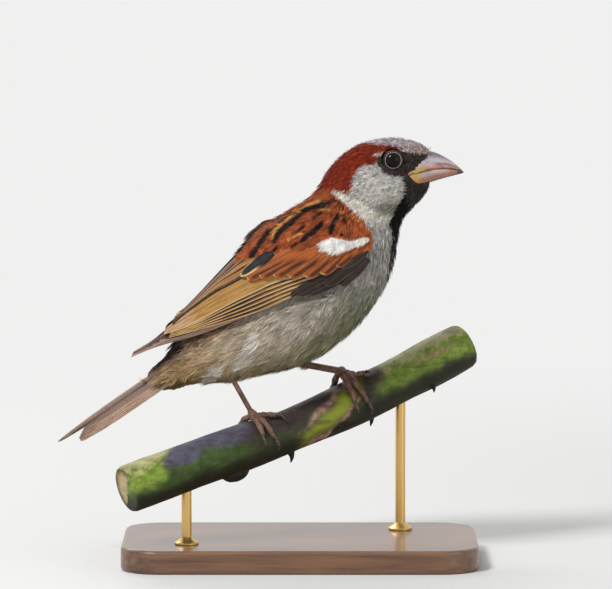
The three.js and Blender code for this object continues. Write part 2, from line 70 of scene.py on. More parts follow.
def placeCamera():
    camera = linkObject("camera", bpy.data.cameras.new("camera"))
    tilt = math.radians(view["elevation"])
    back = Vector((0, -math.cos(tilt), math.sin(tilt))) * view["distance"]
    camera.location = (Vector(view["aim"]) + back) * mm
    camera.rotation_euler = (math.pi / 2 - tilt, 0, 0)
    camera.data.sensor_width = 36
    camera.data.lens = view["lens"]
    camera.data.clip_start = 0.01
    scene.camera = camera


def placeLamps():
    for name, lamp in lamps.items():
        data = bpy.data.lights.new(name, "AREA")
        data.shape = "DISK"
        data.size = lamp["size"] * mm
        data.energy = lamp["watts"]
        made = linkObject(name, data)
        made.location = Vector(lamp["at"]) * mm
        toBird = Vector(view["aim"]) - Vector(lamp["at"])
        made.rotation_euler = toBird.to_track_quat("-Z", "Y").to_euler()


# A value in a material's node tree. Maths on it adds Math nodes.
class Wire:
    def __init__(self, finish, socket):
        self.finish = finish
        self.socket = socket

    def maths(self, operation, first, *others):
        values = dict(enumerate((first, *others)))
        return self.finish.node("ShaderNodeMath", {"operation": operation}, values)

    def __add__(self, other):
        return self.maths("ADD", self, other)

    def __mul__(self, other):
        return self.maths("MULTIPLY", self, other)

    def __sub__(self, other):
        return self.maths("SUBTRACT", self, other)

    def __rsub__(self, other):
        return self.maths("SUBTRACT", other, self)

    def above(self, low, high):
        values = {"Value": self, "From Min": low, "From Max": high}
        return self.finish.node("ShaderNodeMapRange", {"interpolation_type": "SMOOTHSTEP"}, values)

    __radd__ = __add__


# A material whose nodes are added one call at a time.
class Finish:
    def __init__(self, name, constants, world=False):
        self.material = (bpy.data.worlds if world else bpy.data.materials).new(name)
        self.material.use_nodes = True
        self.tree = self.material.node_tree
        self.surface = self.tree.nodes["Background" if world else "Principled BSDF"]
        for socket, value in constants.items():
            self.surface.inputs[socket].default_value = value

    def node(self, kind, settings=None, inputs=None, output=0):
        made = self.tree.nodes.new(kind)
        for name, value in (settings or {}).items():
            setattr(made, name, value)
        for name, value in (inputs or {}).items():
            if isinstance(value, Wire):
                self.tree.links.new(value.socket, made.inputs[name])
            else:
                made.inputs[name].default_value = value
        return Wire(self, made.outputs[output])

    def feed(self, socket, wire):
        self.tree.links.new(wire.socket, self.surface.inputs[socket])

    def look(self, colour, roughness=None):
        self.feed("Base Color", colour)
        if roughness is not None:
            self.feed("Roughness", roughness)

    def place(self):
        return self.node("ShaderNodeTexCoord", output="Object")

    def joined(self, x, y):
        return self.node("ShaderNodeCombineXYZ", {}, {"X": x, "Y": y})

    def painted(self, layer):
        return self.node("ShaderNodeVertexColor", {"layer_name": layer}, {}, "Color")

    def noise(self, vector, scale, detail=3, roughness=0.5):
        values = {"Vector": vector, "Scale": scale, "Detail": detail, "Roughness": roughness}
        return self.node("ShaderNodeTexNoise", {}, values)

    def stretched(self, vector, scale, turn=(0, 0, 0)):
        return self.node("ShaderNodeMapping", {}, {"Vector": vector, "Scale": scale, "Rotation": turn})

    def blend(self, share, first, second, kind="MIX"):
        settings = {"data_type": "RGBA", "blend_type": kind}
        return self.node("ShaderNodeMix", settings, {0: share, 6: first, 7: second}, 2)

    # 1 for what the camera, a mirror or glass sees, and 0 for what lights the scene.
    def seen(self):
        rays = self.node("ShaderNodeLightPath").socket.node.outputs
        camera, glossy, through = (
            Wire(self, rays[f"Is {kind} Ray"]) for kind in ("Camera", "Glossy", "Transmission"))
        return camera.maths("MAXIMUM", camera, glossy.maths("MAXIMUM", glossy, through))

    def bump(self, height, strength, distance):
        values = {"Height": height, "Strength": strength, "Distance": distance}
        self.feed("Normal", self.node("ShaderNodeBump", {}, values))


def toLinear(colour):
    share = np.asarray(colour, float) / 255
    return np.where(share <= 0.04045, share / 12.92, ((share + 0.055) / 1.055) ** 2.4)


def paint(*colour):
    return (*toLinear(colour), 1)


# A round floor that fades into an even pale background, so that it looks the same from all sides.
def makeStage():
    form = bmesh.new()
    bmesh.ops.create_circle(form, cap_ends=True, segments=96, radius=studio["radius"] * mm)
    mesh = bpy.data.meshes.new("floor")
    form.to_mesh(mesh)
    form.free()
    floor = linkObject("floor", mesh)
    paper = Finish("paper", {"Roughness": 1, "Specular IOR Level": 0, "Emission Strength": 1})
    tone = paper.noise(paper.place(), 3, 2).above(0, 1)
    matt = paper.blend(tone * 0.04, (*studio["floor"], 1), studio["floorCloud"])
    middle = paper.node("ShaderNodeVectorMath", {"operation": "LENGTH"}, {0: paper.place()}, "Value")
    faded = middle.above(*studio["fades"]) * paper.seen()
    paper.feed("Base Color", paper.blend(faded, matt, (0, 0, 0, 1)))
    paper.feed("Emission Color", paper.blend(faded, (0, 0, 0, 1), (*studio["background"], 1)))
    paper.material.cycles.emission_sampling = "NONE"
    mesh.materials.append(paper.material)
    air = Finish("studio", {}, True)
    even = (*[studio["sky"]] * 3, 1)
    air.feed("Color", air.blend(air.seen(), even, (*studio["background"], 1)))
    scene.world = air.material
    scene.view_settings.view_transform = "Standard"


placeCamera()
placeLamps()
makeStage()
print("camera, lamps and floor are in place")

# Shapes shared by several pieces


def lengths(vectors):
    return np.linalg.norm(vectors, axis=-1)


def unit(vectors):
    return vectors / np.maximum(np.linalg.norm(vectors, axis=-1, keepdims=True), 1e-9)


def lerp(first, last, share):
    return first + (last - first) * share


def smoothstep(value, low, high):
    share = np.clip((value - low) / (high - low), 0, 1)
    return share * share * (3 - 2 * share)


# Directions made square to other ones.
def squareTo(vectors, others):
    return unit(vectors - others * np.sum(vectors * others, axis=1, keepdims=True))


# Feathers' directions, each turned about its own normal by a random angle.
def strayed(lie, normals, spread, rng):
    turn = rng.normal(0, 1, len(lie)) * np.radians(spread)
    return lie * np.cos(turn)[:, None] + np.cross(normals, lie) * np.sin(turn)[:, None]


def pointTree(points):
    tree = KDTree(len(points))
    for i, point in enumerate(points):
        tree.insert(point, i)
    tree.balance()
    return tree


def surfaceTree(points, faces):
    return BVHTree.FromPolygons(points.tolist(), faces.tolist())


def asTones(colours):
    return {name: np.array(value, float) for name, value in colours.items()}


# Lays colours over one another, each with how far it covers those below it.
def layered(made, *layers):
    for colour, share in layers:
        made = made + (colour - made) * share[:, None]
    return made


# One colour at each of the points.
def plain(colour, points):
    return np.tile(colour, (len(points), 1))


# Points of a smooth curve through the given ones, at shares of their count.
def alongCurve(points, shares):
    points = np.array(points, float)
    last = len(points) - 1
    place = np.clip(np.atleast_1d(shares), 0, 1) * last
    first = np.minimum(place.astype(int), last - 1)
    rest = (place - first)[:, None]
    padded = np.vstack([2 * points[0] - points[1], points, 2 * points[-1] - points[-2]])
    a, b, c, d = (padded[first + i] for i in range(4))
    spans = [np.sum((q - p) ** 2, axis=1, keepdims=True) ** 0.25 for p, q in ((a, b), (b, c), (c, d))]
    middle = np.where(spans[1] < 1e-4, 1, spans[1])
    before, after = (np.where(span < 1e-4, middle, span) for span in (spans[0], spans[2]))
    leaving = ((b - a) / before - (c - a) / (before + middle) + (c - b) / middle) * middle
    arriving = ((c - b) / middle - (d - b) / (middle + after) + (d - c) / after) * middle
    square = 3 * (c - b) - 2 * leaving - arriving
    cube = 2 * (b - c) + leaving + arriving
    return b + rest * leaving + rest**2 * square + rest**3 * cube


# A function through [place, value] pairs.
def graph(pairs):
    pairs = np.array(pairs, float)
    last = len(pairs) - 1
    place = np.linspace(0, last, 2000)
    first = np.minimum(place.astype(int), last - 1)
    rest = (place - first)[:, None]
    a, b, c, d = (pairs[np.clip(first + i, 0, last)] for i in (-1, 0, 1, 2))
    leaving, arriving = (c - a) / 2, (d - b) / 2
    square = 3 * (c - b) - 2 * leaving - arriving
    line = b + rest * leaving + rest**2 * square + rest**3 * (2 * (b - c) + leaving + arriving)
    return lambda at: np.interp(at, line[:, 0], line[:, 1])


def facedOut(form):
    bmesh.ops.recalc_face_normals(form, faces=form.faces)
    return form


# Faces a form out and sharpens its edges that turn by more than an angle.
def creased(form, angle):
    for edge in facedOut(form).edges:
        edge.smooth = not edge.is_manifold or edge.calc_face_angle(0) < angle
    return form


# Turns a profile right round the upright axis, and joins points nearer than a distance.
def spun(form, profile, steps, near):
    bmesh.ops.spin(form, geom=profile, cent=(0, 0, 0), axis=(0, 0, 1), angle=2 * math.pi, steps=steps,
                   use_merge=True)
    bmesh.ops.remove_doubles(form, verts=form.verts, dist=near)


# A closed form from place(share of the way, angle), like a ball drawn out along a line.
def blob(along, around, place):
    form = bmesh.new()
    bmesh.ops.create_uvsphere(form, u_segments=around, v_segments=along, radius=1)
    for vert in form.verts:
        share = math.acos(max(-1, min(1, vert.co.z))) / math.pi
        if min(share, 1 - share) < 0.3 / along:
            share = round(share)
            spot = (Vector(place(share, 0)) + Vector(place(share, math.pi))) / 2
        else:
            spot = Vector(place(share, math.atan2(vert.co.y, vert.co.x)))
        vert.co = spot
    return facedOut(form)


def quarter(share):
    return math.sqrt(1 - max(0, min(1, 1 - share)) ** 2)


def roundEnds(share, front, rear):
    return quarter(share / front) * quarter((1 - share) / rear)


# Puts a finished form into the scene as a piece that rides on the frame.
def settle(name, form, finish, replaced=(), smooth=True):
    bmesh.ops.scale(form, verts=form.verts, vec=(mm, mm, mm))
    mesh = bpy.data.meshes.new(name)
    form.to_mesh(mesh)
    form.free()
    return settleMesh(name, mesh, finish, replaced, smooth)


def settleMesh(name, mesh, finish, replaced=(), smooth=True):
    mesh.polygons.foreach_set("use_smooth", [smooth] * len(mesh.polygons))
    mesh.materials.append(finish.material)
    piece = linkObject(name, mesh)
    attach(piece, "root")
    if replaced:
        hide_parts(*replaced)
    return piece


# The body's own coordinates: a section number from brow to tail, and an angle from the back round to the
# belly. Each section has its back and belly points in side view, and its half width.

bodySections = [
    ((40.2, 119.4), (40.2, 118.2), 0), ((39.5, 122.4), (39.4, 113.2), 3.4),
    ((35.6, 125.6), (37, 108.7), 5.5), ((28.4, 127), (33.8, 105.3), 9),
    ((19.6, 126.1), (31.4, 102.7), 10.6), ((12.2, 122.2), (30.4, 99.7), 11), ((7, 116.6), (30.1, 96.7), 12),
    ((3.5, 110.3), (29.5, 93), 14.2), ((-3.6, 106), (28.4, 87), 16.8), ((-10.9, 100.8), (24.9, 79.5), 18.8),
    ((-16.9, 94.6), (19.4, 71.6), 19.7), ((-22.6, 87.2), (11, 63.6), 19.3), ((-28, 79.9), (1, 58), 17.4),
    ((-33, 73.4), (-9.5, 55.4), 14.4), ((-37.6, 67.6), (-20.5, 53.6), 11),
    ((-41.2, 62.4), (-31, 52.2), 7.6), ((-44.6, 57.4), (-39.5, 50.8), 4.6),
    ((-47.2, 53.4), (-45.6, 51.4), 0),
]
lastSection = len(bodySections) - 1
backLine = [(back[0], half, back[1]) for back, belly, half in bodySections]
bellyLine = [(belly[0], half, belly[1]) for back, belly, half in bodySections]


def bodyPoint(section, angle):
    section, angle = np.broadcast_arrays(np.asarray(section, float), np.asarray(angle, float))
    back = alongCurve(backLine, section.ravel() / lastSection)
    belly = alongCurve(bellyLine, section.ravel() / lastSection)
    half = np.maximum(0, back[:, 1])
    back[:, 1] = belly[:, 1] = 0
    turn = angle.ravel()[:, None]
    spot = (back + belly) / 2 + (back - belly) / 2 * np.cos(turn)
    spot[:, 1] = half * (np.sin(turn) * (1 - 0.1 * np.cos(turn)))[:, 0]
    return spot.reshape(*section.shape, 3)


# Short steps from places of the body, towards the tail and round to the side.
def bodySteps(section, angle):
    section = np.clip(section, 0.4, lastSection - 0.5)
    along = bodyPoint(section + 0.2, angle) - bodyPoint(section - 0.2, angle)
    return along, bodyPoint(section, angle + 0.05) - bodyPoint(section, angle - 0.05)


def buildBodyFinder():
    section, angle = np.meshgrid(np.linspace(0, lastSection, 273), np.linspace(-np.pi, np.pi, 145))
    section, angle = section.ravel(), angle.ravel()
    return section, angle, pointTree(bodyPoint(section, angle))


gridSection, gridAngle, bodyTree = buildBodyFinder()


# Section number and angle of each point.
def bodyPlace(points):
    found = np.array([bodyTree.find(p)[1] for p in points], int)
    return gridSection[found], gridAngle[found]


print("the body's coordinates are ready")

# Markings of the plumage, shared by skin and feathers. Outlines are in side view, the same on both sides.

plumageColours = {
    "crown": (204, 195, 198), "crownTip": (176, 118, 88), "chestnut": (150, 52, 24), "plum": (108, 44, 42),
    "cheek": (218, 214, 206), "cheekTop": (190, 186, 182), "cheekLow": (148, 146, 126),
    "mask": (56, 49, 46), "maskTip": (96, 84, 78), "maskEdge": (88, 82, 78), "stripe": (252, 242, 224),
    "streak": (240, 214, 202), "bib": (22, 19, 17), "bibTip": (124, 118, 110), "mantle": (150, 78, 46),
    "mantleTip": (116, 80, 70), "shoulder": (172, 90, 52), "brace": (222, 156, 84), "back": (136, 100, 76),
    "rump": (130, 106, 88), "dark": (34, 27, 27), "wingShadowOnRump": (40, 30, 28), "pale": (236, 233, 224),
    "dusky": (118, 112, 104),
}
underColours = [
    (6, (206, 202, 197)), (7.5, (194, 189, 183)), (9, (182, 178, 168)), (11, (196, 185, 170)),
    (13, (198, 178, 150)), (14.5, (176, 146, 104)), (17, (158, 134, 100)),
]
faceLine = [
    (22.6, 119.2), (23, 118.5), (24.4, 116.5), (27.3, 115.7), (30, 115.5), (30.1, 113.2), (31, 112.6),
    (30.4, 110.8), (30.1, 108.9), (28.5, 106.8), (27.4, 104.6), (26.8, 102.6),
]
markings = {
    "crown": [(16.2, 124.7), (17.5, 125.3), (20.2, 125.2), (26.3, 124.8), (28.3, 124.5), (30.2, 123.6),
              (31.1, 123.1), (32.5, 122.5), (35.4, 122.1), (37.1, 122.5), (39, 123), (44, 123), (44, 132),
              (14.5, 132)],
    "chestnut": [(14.5, 132), (14.5, 124), (17.5, 125.3), (20.2, 125.2), (26.3, 124.8), (28.3, 124.5),
                 (30, 123.6), (27.5, 123.3), (25.3, 122.9), (23, 122), (22.6, 120.4), (21.6, 118.9),
                 (19.7, 118.7), (18, 118.3), (16.4, 117.5), (15.4, 115.5), (14.6, 113.2), (14.6, 110.4),
                 (10.3, 111), (4, 110.8), (0, 111.4), (0, 132)],
    "mask": [(22.6, 121), *faceLine, (27.5, 100.6), (28.9, 98.9), (29.7, 96), (34, 92), (46, 100),
             (46, 123), (38.8, 122.2), (35.4, 122.1), (32.5, 122.5), (31, 123.1), (28.6, 123.6),
             (25.3, 122.8), (23.4, 121.9)],
    "stripe": [(9, 110.4), (10.2, 111), (12.2, 110.4), (14.9, 109), (17.7, 107.5), (20.6, 105.5),
               (22.9, 104.2), (25.4, 103.5), (27, 101.9), (26.3, 101), (22.9, 101.9), (20.6, 102.2),
               (17.7, 103.2), (15.2, 105.4), (12.9, 107.4), (10.9, 108.8)],
    "streak": [(21.2, 121.8), (22.8, 122.5), (25.6, 123), (26, 122.5), (23.7, 121.8), (22, 121.4)],
    "shoulder": [(9.3, 110.4), (10.9, 108.9), (12.6, 107.5), (14.9, 105.4), (17.2, 103.6), (19.4, 101.4),
                 (20.2, 99.8), (20.3, 98), (19.5, 94), (0, 88), (-14, 86), (-20, 90), (-16, 96.4),
                 (-10.5, 101.6), (-3.5, 107), (2.6, 111.4)],
    "cheek": [(22, 121), *faceLine, (25, 98), (8, 98), (8, 121)],
    # A shadow of the wing on the rump's side, painted near-black.
    "wingShadowOnRump": [(-39.6, 67.5), (-34.8, 67.6), (-36, 63.4), (-39.6, 60.2), (-43.6, 57), (-46, 59)],
}
# How far the markings' edges wander, and the shares of feathers that take a second colour.
edgeWander = 0.25
flecks = {"purple": 0.35, "maskTip": 0.14, "maskEdge": 0.7, "plum": 0.3, "crownTip": 0.38, "bibTip": 0.75}
duskyEdge = [(1.3, [(14.8, 111.4), (18.6, 108.6), (22.5, 106), (27, 104)])]
paleTufts = [
    [(-15, 70), (-12.8, 68), (-16, 59.5), (-20.6, 56.5), (-21.2, 60), (-18, 64.5)],
    [(-23, 60), (-24, 55.5), (-29.5, 53), (-30.5, 56), (-27, 59)],
]
whiteBar = [
    (4.1, 95.7), (6.2, 97.1), (9.1, 98.1), (14.8, 97.1), (17.7, 97.8), (20.2, 98), (20.4, 97), (18, 95.4),
    (14.9, 94.6), (10.6, 93.3), (7.7, 92.7), (6.3, 93.6), (4.9, 94.3),
]
# Streaks of the back and shoulder, as half widths and the points that they pass.
darkStreaks = [
    (0.75,
     [(9.7, 107.8), (6.3, 107.1), (2.6, 106.1), (1.2, 105.6), (0, 104.6), (-3.1, 101.8), (-4.6, 100.8),
      (-6.3, 99.5), (-7.1, 98), (-7.6, 97)]), (0.7, [(-9.4, 99.8), (-11.7, 96.5), (-14.5, 92.2)]),
    (0.35, [(1.4, 101.2), (0.3, 100.5), (-1.1, 99.5)]),
    (0.75, [(6.3, 101.9), (4, 99.6), (2.3, 98.8), (0.9, 97.5)]),
    (0.35, [(0.6, 97.3), (-1.1, 96.5), (-2.6, 95.6)]),
    (0.7, [(10.9, 103.9), (10, 102.5), (9.4, 101), (9.2, 99.3)]), (0.45, [(12.6, 103.6), (13.4, 102.2)]),
    (0.4, [(-6.8, 95.4), (-8, 94.1)]), (0.3, [(10.8, 107.2), (12.2, 106), (14, 104.7)]),
    (0.35, [(5.6, 104.6), (4.2, 103.6)]),
    (0.3, [(-2.5, 104.7), (-6.4, 101.8), (-10.4, 98.3), (-14.6, 93.4)]),
    (0.4, [(-4, 106.6), (-8, 103.6), (-13.7, 99.3), (-17.7, 94.4)]),
]
paleStreaks = [
    (0.42, [(5.7, 108.3), (1.7, 106.7), (-1.7, 104.7), (-5.1, 102.2), (-7.8, 99.7), (-8.1, 97.7)]),
    (0.35, [(8.6, 105.9), (5.4, 105.5)]), (0.3, [(0.4, 99.3), (-3.6, 97.4)]),
    (0.3, [(15.2, 104.2), (17.4, 102.4)]),
]


# How near points of the side view are to any of the lines: 1 on a line, 0 past its width.
def nearLines(lines, x, z):
    near = np.zeros(x.shape)
    for width, line in lines:
        for (x1, z1), (x2, z2) in zip(line, line[1:]):
            runX, runZ = x2 - x1, z2 - z1
            share = np.clip(((x - x1) * runX + (z - z1) * runZ) / (runX**2 + runZ**2), 0, 1)
            gap = np.hypot(x - x1 - share * runX, z - z1 - share * runZ)
            near = np.maximum(near, 1 - smoothstep(gap, width * 0.7, width * 1.25))
    return near


def inside(outline, x, z):
    crossed = np.zeros(x.shape, bool)
    for (x1, z1), (x2, z2) in zip(outline, outline[1:] + outline[:1]):
        spans = (z1 > z) != (z2 > z)
        crossed ^= spans & (x < (x2 - x1) * (z - z1) / (z2 - z1 + 1e-12) + x1)
    return crossed


plumageTones = asTones(plumageColours)


# Lays the streaks of the back over the colours of points of the side view.
def mantleTone(x, z, tone, rng):
    x, z = x + rng.normal(0, 0.12, x.shape), z + rng.normal(0, 0.12, z.shape)
    return layered(tone, (plumageTones["brace"], nearLines(paleStreaks, x, z)),
                   (plumageTones["dark"], nearLines(darkStreaks, x, z)))


# sRGB colours of points of the plumage, whose markings have edges that wander a little.
def plumage(points, section, angle, rng):
    x, y, z = (points + rng.normal(0, 1, points.shape) * edgeWander).T
    turn, colour = np.abs(angle), plumageTones
    at, tones = zip(*underColours)
    under = np.stack([np.interp(section, at, channel) for channel in zip(*tones)], axis=1)
    darker = smoothstep(turn, 1.9, 2.6) * smoothstep(section, 8, 10)
    under = under * (1 - darker[:, None] * (0.24, 0.22, 0.32))
    upper = layered(plain(colour["mantle"], x), (colour["back"], smoothstep(section, 9.5, 11.5)),
                    (colour["rump"], smoothstep(section, 12, 14)))
    purple = (rng.random(len(x)) < flecks["purple"]) & (section > 6.4) & (section < 12)
    upper[purple] = colour["mantleTip"]
    made = layered(upper, (under, smoothstep(turn, 1.0, 1.35)))
    shoulder = inside(markings["shoulder"], x, z) & (section > 5.6)
    made[shoulder] = colour["shoulder"]
    streaked = shoulder | ((turn < 1.25) & (section > 6))
    made[streaked] = mantleTone(x[streaked], z[streaked], made[streaked], rng)
    # Painted shadow of the wing on the rump.
    made[inside(markings["wingShadowOnRump"], x, z)] = colour["wingShadowOnRump"]
    for tuft in paleTufts:
        here = inside(tuft, x, z)
        made[here] = made[here] * 0.3 + colour["pale"] * 0.7
    head = section < 5.9
    cheek = layered(plain(colour["cheek"], x), (colour["cheekTop"], smoothstep(z, 113.5, 117) * 0.8),
                    (colour["cheekLow"], np.exp(-(((x - 26) / 3.2) ** 2 + ((z - 106.2) / 2.2) ** 2))),
                    (colour["cheekTop"], smoothstep(-x, -20, -15) * 0.6),
                    (colour["dusky"], nearLines(duskyEdge, x, z) * 0.2))
    made[head] = cheek[head]
    marked = {name: inside(markings[name], x, z) & (section < 7.6)
              for name in ("chestnut", "crown", "mask", "stripe", "streak")}
    for name, here in marked.items():
        made[here] = colour[name]
    made[marked["mask"] & (rng.random(len(x)) < flecks["maskTip"])] = colour["maskTip"]
    fringe = flecks["maskEdge"] * smoothstep(-x, -26.5, -23.5) * smoothstep(-z, -119, -117)
    made[marked["mask"] & (rng.random(len(x)) < fringe)] = colour["maskEdge"]
    plum = marked["chestnut"] & (rng.random(len(x)) < flecks["plum"])
    made[plum] = made[plum] * 0.3 + colour["plum"] * 0.7
    front = inside(markings["crown"], x, z) & (z < 124.6)
    made[front & (rng.random(len(x)) < flecks["crownTip"] * smoothstep(x, 27, 30))] = colour["crownTip"]
    halfBib = np.interp(section, [3, 4.6, 5.4, 6.2, 7.2, 8.0, 8.7], [1.5, 1.1, 0.7, 0.5, 0.44, 0.34, 0])
    ragged = rng.normal(0, 0.05, len(x))
    bib = (np.pi - turn + ragged < halfBib) & (section > 3)
    bib &= ~(inside(markings["cheek"], x, z) & (section < 6.4))
    fringed = bib & (rng.random(len(x)) < flecks["bibTip"] * smoothstep(section, 6.4, 8.4))
    made[bib] = colour["bib"]
    made[fringed] = colour["bibTip"]
    return made


# Skin: the flesh nodes as one closed surface, sunk by the depth of the coat

skinShape = {
    "grow": 0.24, "voxel": 0.55, "smoothing": 5, "heelDepth": 0.1, "heelReach": (3, 9), "shade": 0.85,
}
coatDepth = graph([[0, 0.35], [2, 0.45], [4, 0.7], [6, 1.0], [8, 1.4], [12, 1.6], [15, 1.3], [17, 0.9]])
fleshNodes = ["head", "neck", "trunk", "thigh_right", "thigh_left"]
heels = np.array([(-20.2, -9.2, 55.7), (3.0, 8.8, 57.6)])  # of the right and left leg


# 0 near a heel and 1 away from both.
def heelShare(points, near, far):
    gap = lengths(points[:, None] - heels[None]).min(axis=1)
    return smoothstep(gap, near, far)


def meshArrays(mesh):
    points = np.empty(len(mesh.vertices) * 3)
    mesh.vertices.foreach_get("co", points)
    normals = np.empty(len(mesh.vertices) * 3)
    mesh.vertices.foreach_get("normal", normals)
    mesh.calc_loop_triangles()
    triangles = np.empty(len(mesh.loop_triangles) * 3, int)
    mesh.loop_triangles.foreach_get("vertices", triangles)
    return points.reshape(-1, 3) / mm, normals.reshape(-1, 3), triangles.reshape(-1, 3)


def joinFlesh():
    form = bmesh.new()
    for name in fleshNodes:
        form.from_mesh(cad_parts[name].data)
    bmesh.ops.remove_doubles(form, verts=form.verts, dist=0.01 * mm)
    form.normal_update()
    for vert in form.verts:
        vert.co += vert.normal * skinShape["grow"] * mm
    mesh = bpy.data.meshes.new("flesh")
    form.to_mesh(mesh)
    form.free()
    flesh = linkObject("flesh", mesh)
    remesh = flesh.modifiers.new("remesh", "REMESH")
    remesh.mode = "VOXEL"
    remesh.voxel_size = skinShape["voxel"] * mm
    joined = bpy.data.meshes.new_from_object(flesh.evaluated_get(bpy.context.evaluated_depsgraph_get()))
    bpy.data.objects.remove(flesh)
    form = bmesh.new()
    form.from_mesh(joined)
    for _ in range(skinShape["smoothing"]):
        bmesh.ops.smooth_vert(
            form, verts=form.verts, factor=0.5, use_axis_x=True, use_axis_y=True, use_axis_z=True
        )
    form.to_mesh(joined)
    form.free()
    return joined


def setColours(mesh, name, colours):
    layer = mesh.color_attributes.new(name, "FLOAT_COLOR", "POINT")
    full = np.ones((len(colours), 4), np.float32)
    full[:, :3] = toLinear(np.clip(colours, 0, 255))
    layer.data.foreach_set("color", full.ravel())


def makeSkin():
    mesh = joinFlesh()
    points, normals, triangles = meshArrays(mesh)
    section, angle = bodyPlace(points)
    depth = coatDepth(section) + skinShape["grow"]
    depth = depth * lerp(skinShape["heelDepth"], 1, heelShare(points, *skinShape["heelReach"]))
    points = points - normals * depth[:, None]
    mesh.vertices.foreach_set("co", (points * mm).astype(np.float32).ravel())
    mesh.update()
    tone = plumage(points, section, angle, np.random.default_rng(3))
    setColours(mesh, "plumage", tone * skinShape["shade"])
    finish = Finish("skin", {"Roughness": 0.85, "Specular IOR Level": 0.2})
    tone = finish.painted("plumage")
    grain = finish.noise(finish.stretched(finish.place(), (900, 2500, 2500)), 1, 2)
    finish.look(finish.blend(grain.above(0.2, 0.8) * 0.35, tone, (0.05, 0.045, 0.04, 1)))
    finish.bump(grain, 0.4, 0.0003)
    settleMesh("skin", mesh, finish, fleshNodes)
    return points, normals, triangles, section, angle


skinPoints, skinNormals, skinTriangles, skinSection, skinAngle = makeSkin()
skinTree = surfaceTree(skinPoints, skinTriangles)
print("skin:", len(skinPoints), "points")

# The folded wing's own coordinates: shares of the way from bend to tip and of the wrap, and height over it

wing = {"bend": (20.2, 94), "tip": (-50.2, 61.4), "wrap": 1.92, "thinnest": 0.3, "low": 0.3, "front": 0.45}
wingAbove = graph([
    [0, 3.6], [0.1, 9.4], [0.2, 13.6], [0.3, 16.4], [0.4, 16], [0.5, 13], [0.7, 6.6], [0.9, 1.3], [1, 0.4],
])
wingBelow = graph([
    [0, -3.8], [0.06, -5.2], [0.12, -5.6], [0.3, -4.2], [0.6, -3.2], [0.8, -1.2], [0.93, 0], [1, 0],
])
wingEdge = graph([
    [0, 13], [0.1, 9.6], [0.2, 7.4], [0.45, 3.6], [0.6, 2.2], [0.75, 1.8], [0.9, 2.6], [1, 3.4],
])
wingBulge = graph([
    [0, 15.6], [0.1, 17], [0.35, 18], [0.5, 16.4], [0.65, 12.4], [0.8, 7.8], [0.9, 5.4], [1, 4.4],
])
wingAxis = np.array(wing["tip"]) - np.array(wing["bend"])
wingUp = np.array([wingAxis[1], -wingAxis[0]]) / np.linalg.norm(wingAxis)
wingLength = np.linalg.norm(wingAxis)


def wingRadii(along):
    above, below = wingAbove(along), wingBelow(along)
    tall = np.maximum(wing["thinnest"], (above - below) / (1 - math.cos(wing["wrap"])))
    return above, tall, np.maximum(wing["thinnest"], wingBulge(along) - wingEdge(along))


def wingPoint(side, along, wrap, height):
    along, wrap, height = np.broadcast_arrays(*(np.asarray(v, float) for v in (along, wrap, height)))
    # Layers lie closer along the back and at the bend.
    pressed = lerp(wing["low"], 1, smoothstep(wrap, 0.2, 0.45))
    height = height * lerp(1, pressed, smoothstep(along, 0.3, 0.44))
    height = height * lerp(wing["front"], 1, smoothstep(along, 0, 0.16))
    above, tall, wide = wingRadii(along)
    turn = wing["wrap"] * wrap
    normal = unit(np.stack([np.cos(turn) / tall, np.sin(turn) / wide], axis=-1))
    up = above - tall + tall * np.cos(turn) + height * normal[..., 0]
    out = wingEdge(along) + wide * np.sin(turn) + height * normal[..., 1]
    x = wing["bend"][0] + wingAxis[0] * along + wingUp[0] * up
    z = wing["bend"][1] + wingAxis[1] * along + wingUp[1] * up
    return np.stack([x, side * out, z], axis=-1)


# Corners of the quads of a grid of rows by columns.
def gridQuads(rows, columns):
    first = (np.arange(rows - 1)[:, None] * columns + np.arange(columns - 1)).ravel()
    return np.stack([first, first + 1, first + 1 + columns, first + columns], axis=1)


# A grid of points on the folded wing at one height, and the corners of its quads.
def wingGrid(side, alongRange, wrapRange, height, counts):
    shares = np.linspace(*alongRange, counts[0]), np.linspace(*wrapRange, counts[1])
    along, wrap = np.meshgrid(*shares, indexing="ij")
    return wingPoint(side, along, wrap, height).reshape(-1, 3), gridQuads(*counts)


def wingCover():
    grids = [wingGrid(side, (0.005, 0.98), (0.01, 0.9), 1.0, (60, 24)) for side in sides.values()]
    points, quads = zip(*grids)
    return surfaceTree(np.vstack(points), np.vstack([quads[0], quads[1] + len(points[0])]))


wingTree = wingCover()

# Contour feathers: fans of fine barbs, rooted on the skin and lying along it

billSide = [
    (31.6, 116.1), (33.5, 117.3), (34.7, 118.5), (35.9, 119.6), (37.3, 120.5), (39.2, 121.4), (39.3, 122.7),
    (50, 124), (50, 110), (40, 113.4), (35.2, 113.3), (34, 113.8), (33, 114.8),
]
# The tail's line, which the last feathers of the body follow too.
tail = {
    "root": (-35.8, 60), "slope": 0.585, "roll": 0.38, "feathers": 6, "first": 0.02, "spread": 0.0005,
    "step": 0.55, "layer": 0.24, "shorter": 2.2, "point": 3.2, "narrow": 0.64, "widens": 0.22,
    "right": {"length": 37.6, "half": 2.95, "start": 2.5, "lower": 0},
    "left": {"length": 44.4, "half": 3.4, "start": 1.85, "lower": 0.035},
}
tailWay = np.array((-math.cos(tail["slope"]), 0, -math.sin(tail["slope"])))

# Feathers' sizes in millimetres, count of barbs, how far they stray in degrees, and how much tones differ.
featherKeys = ("length", "width", "rise", "barbs", "turn", "strand", "contrast", "spacing")


def featherKinds(rows):
    return {name: dict(zip(featherKeys, row)) for name, row in rows.items()}


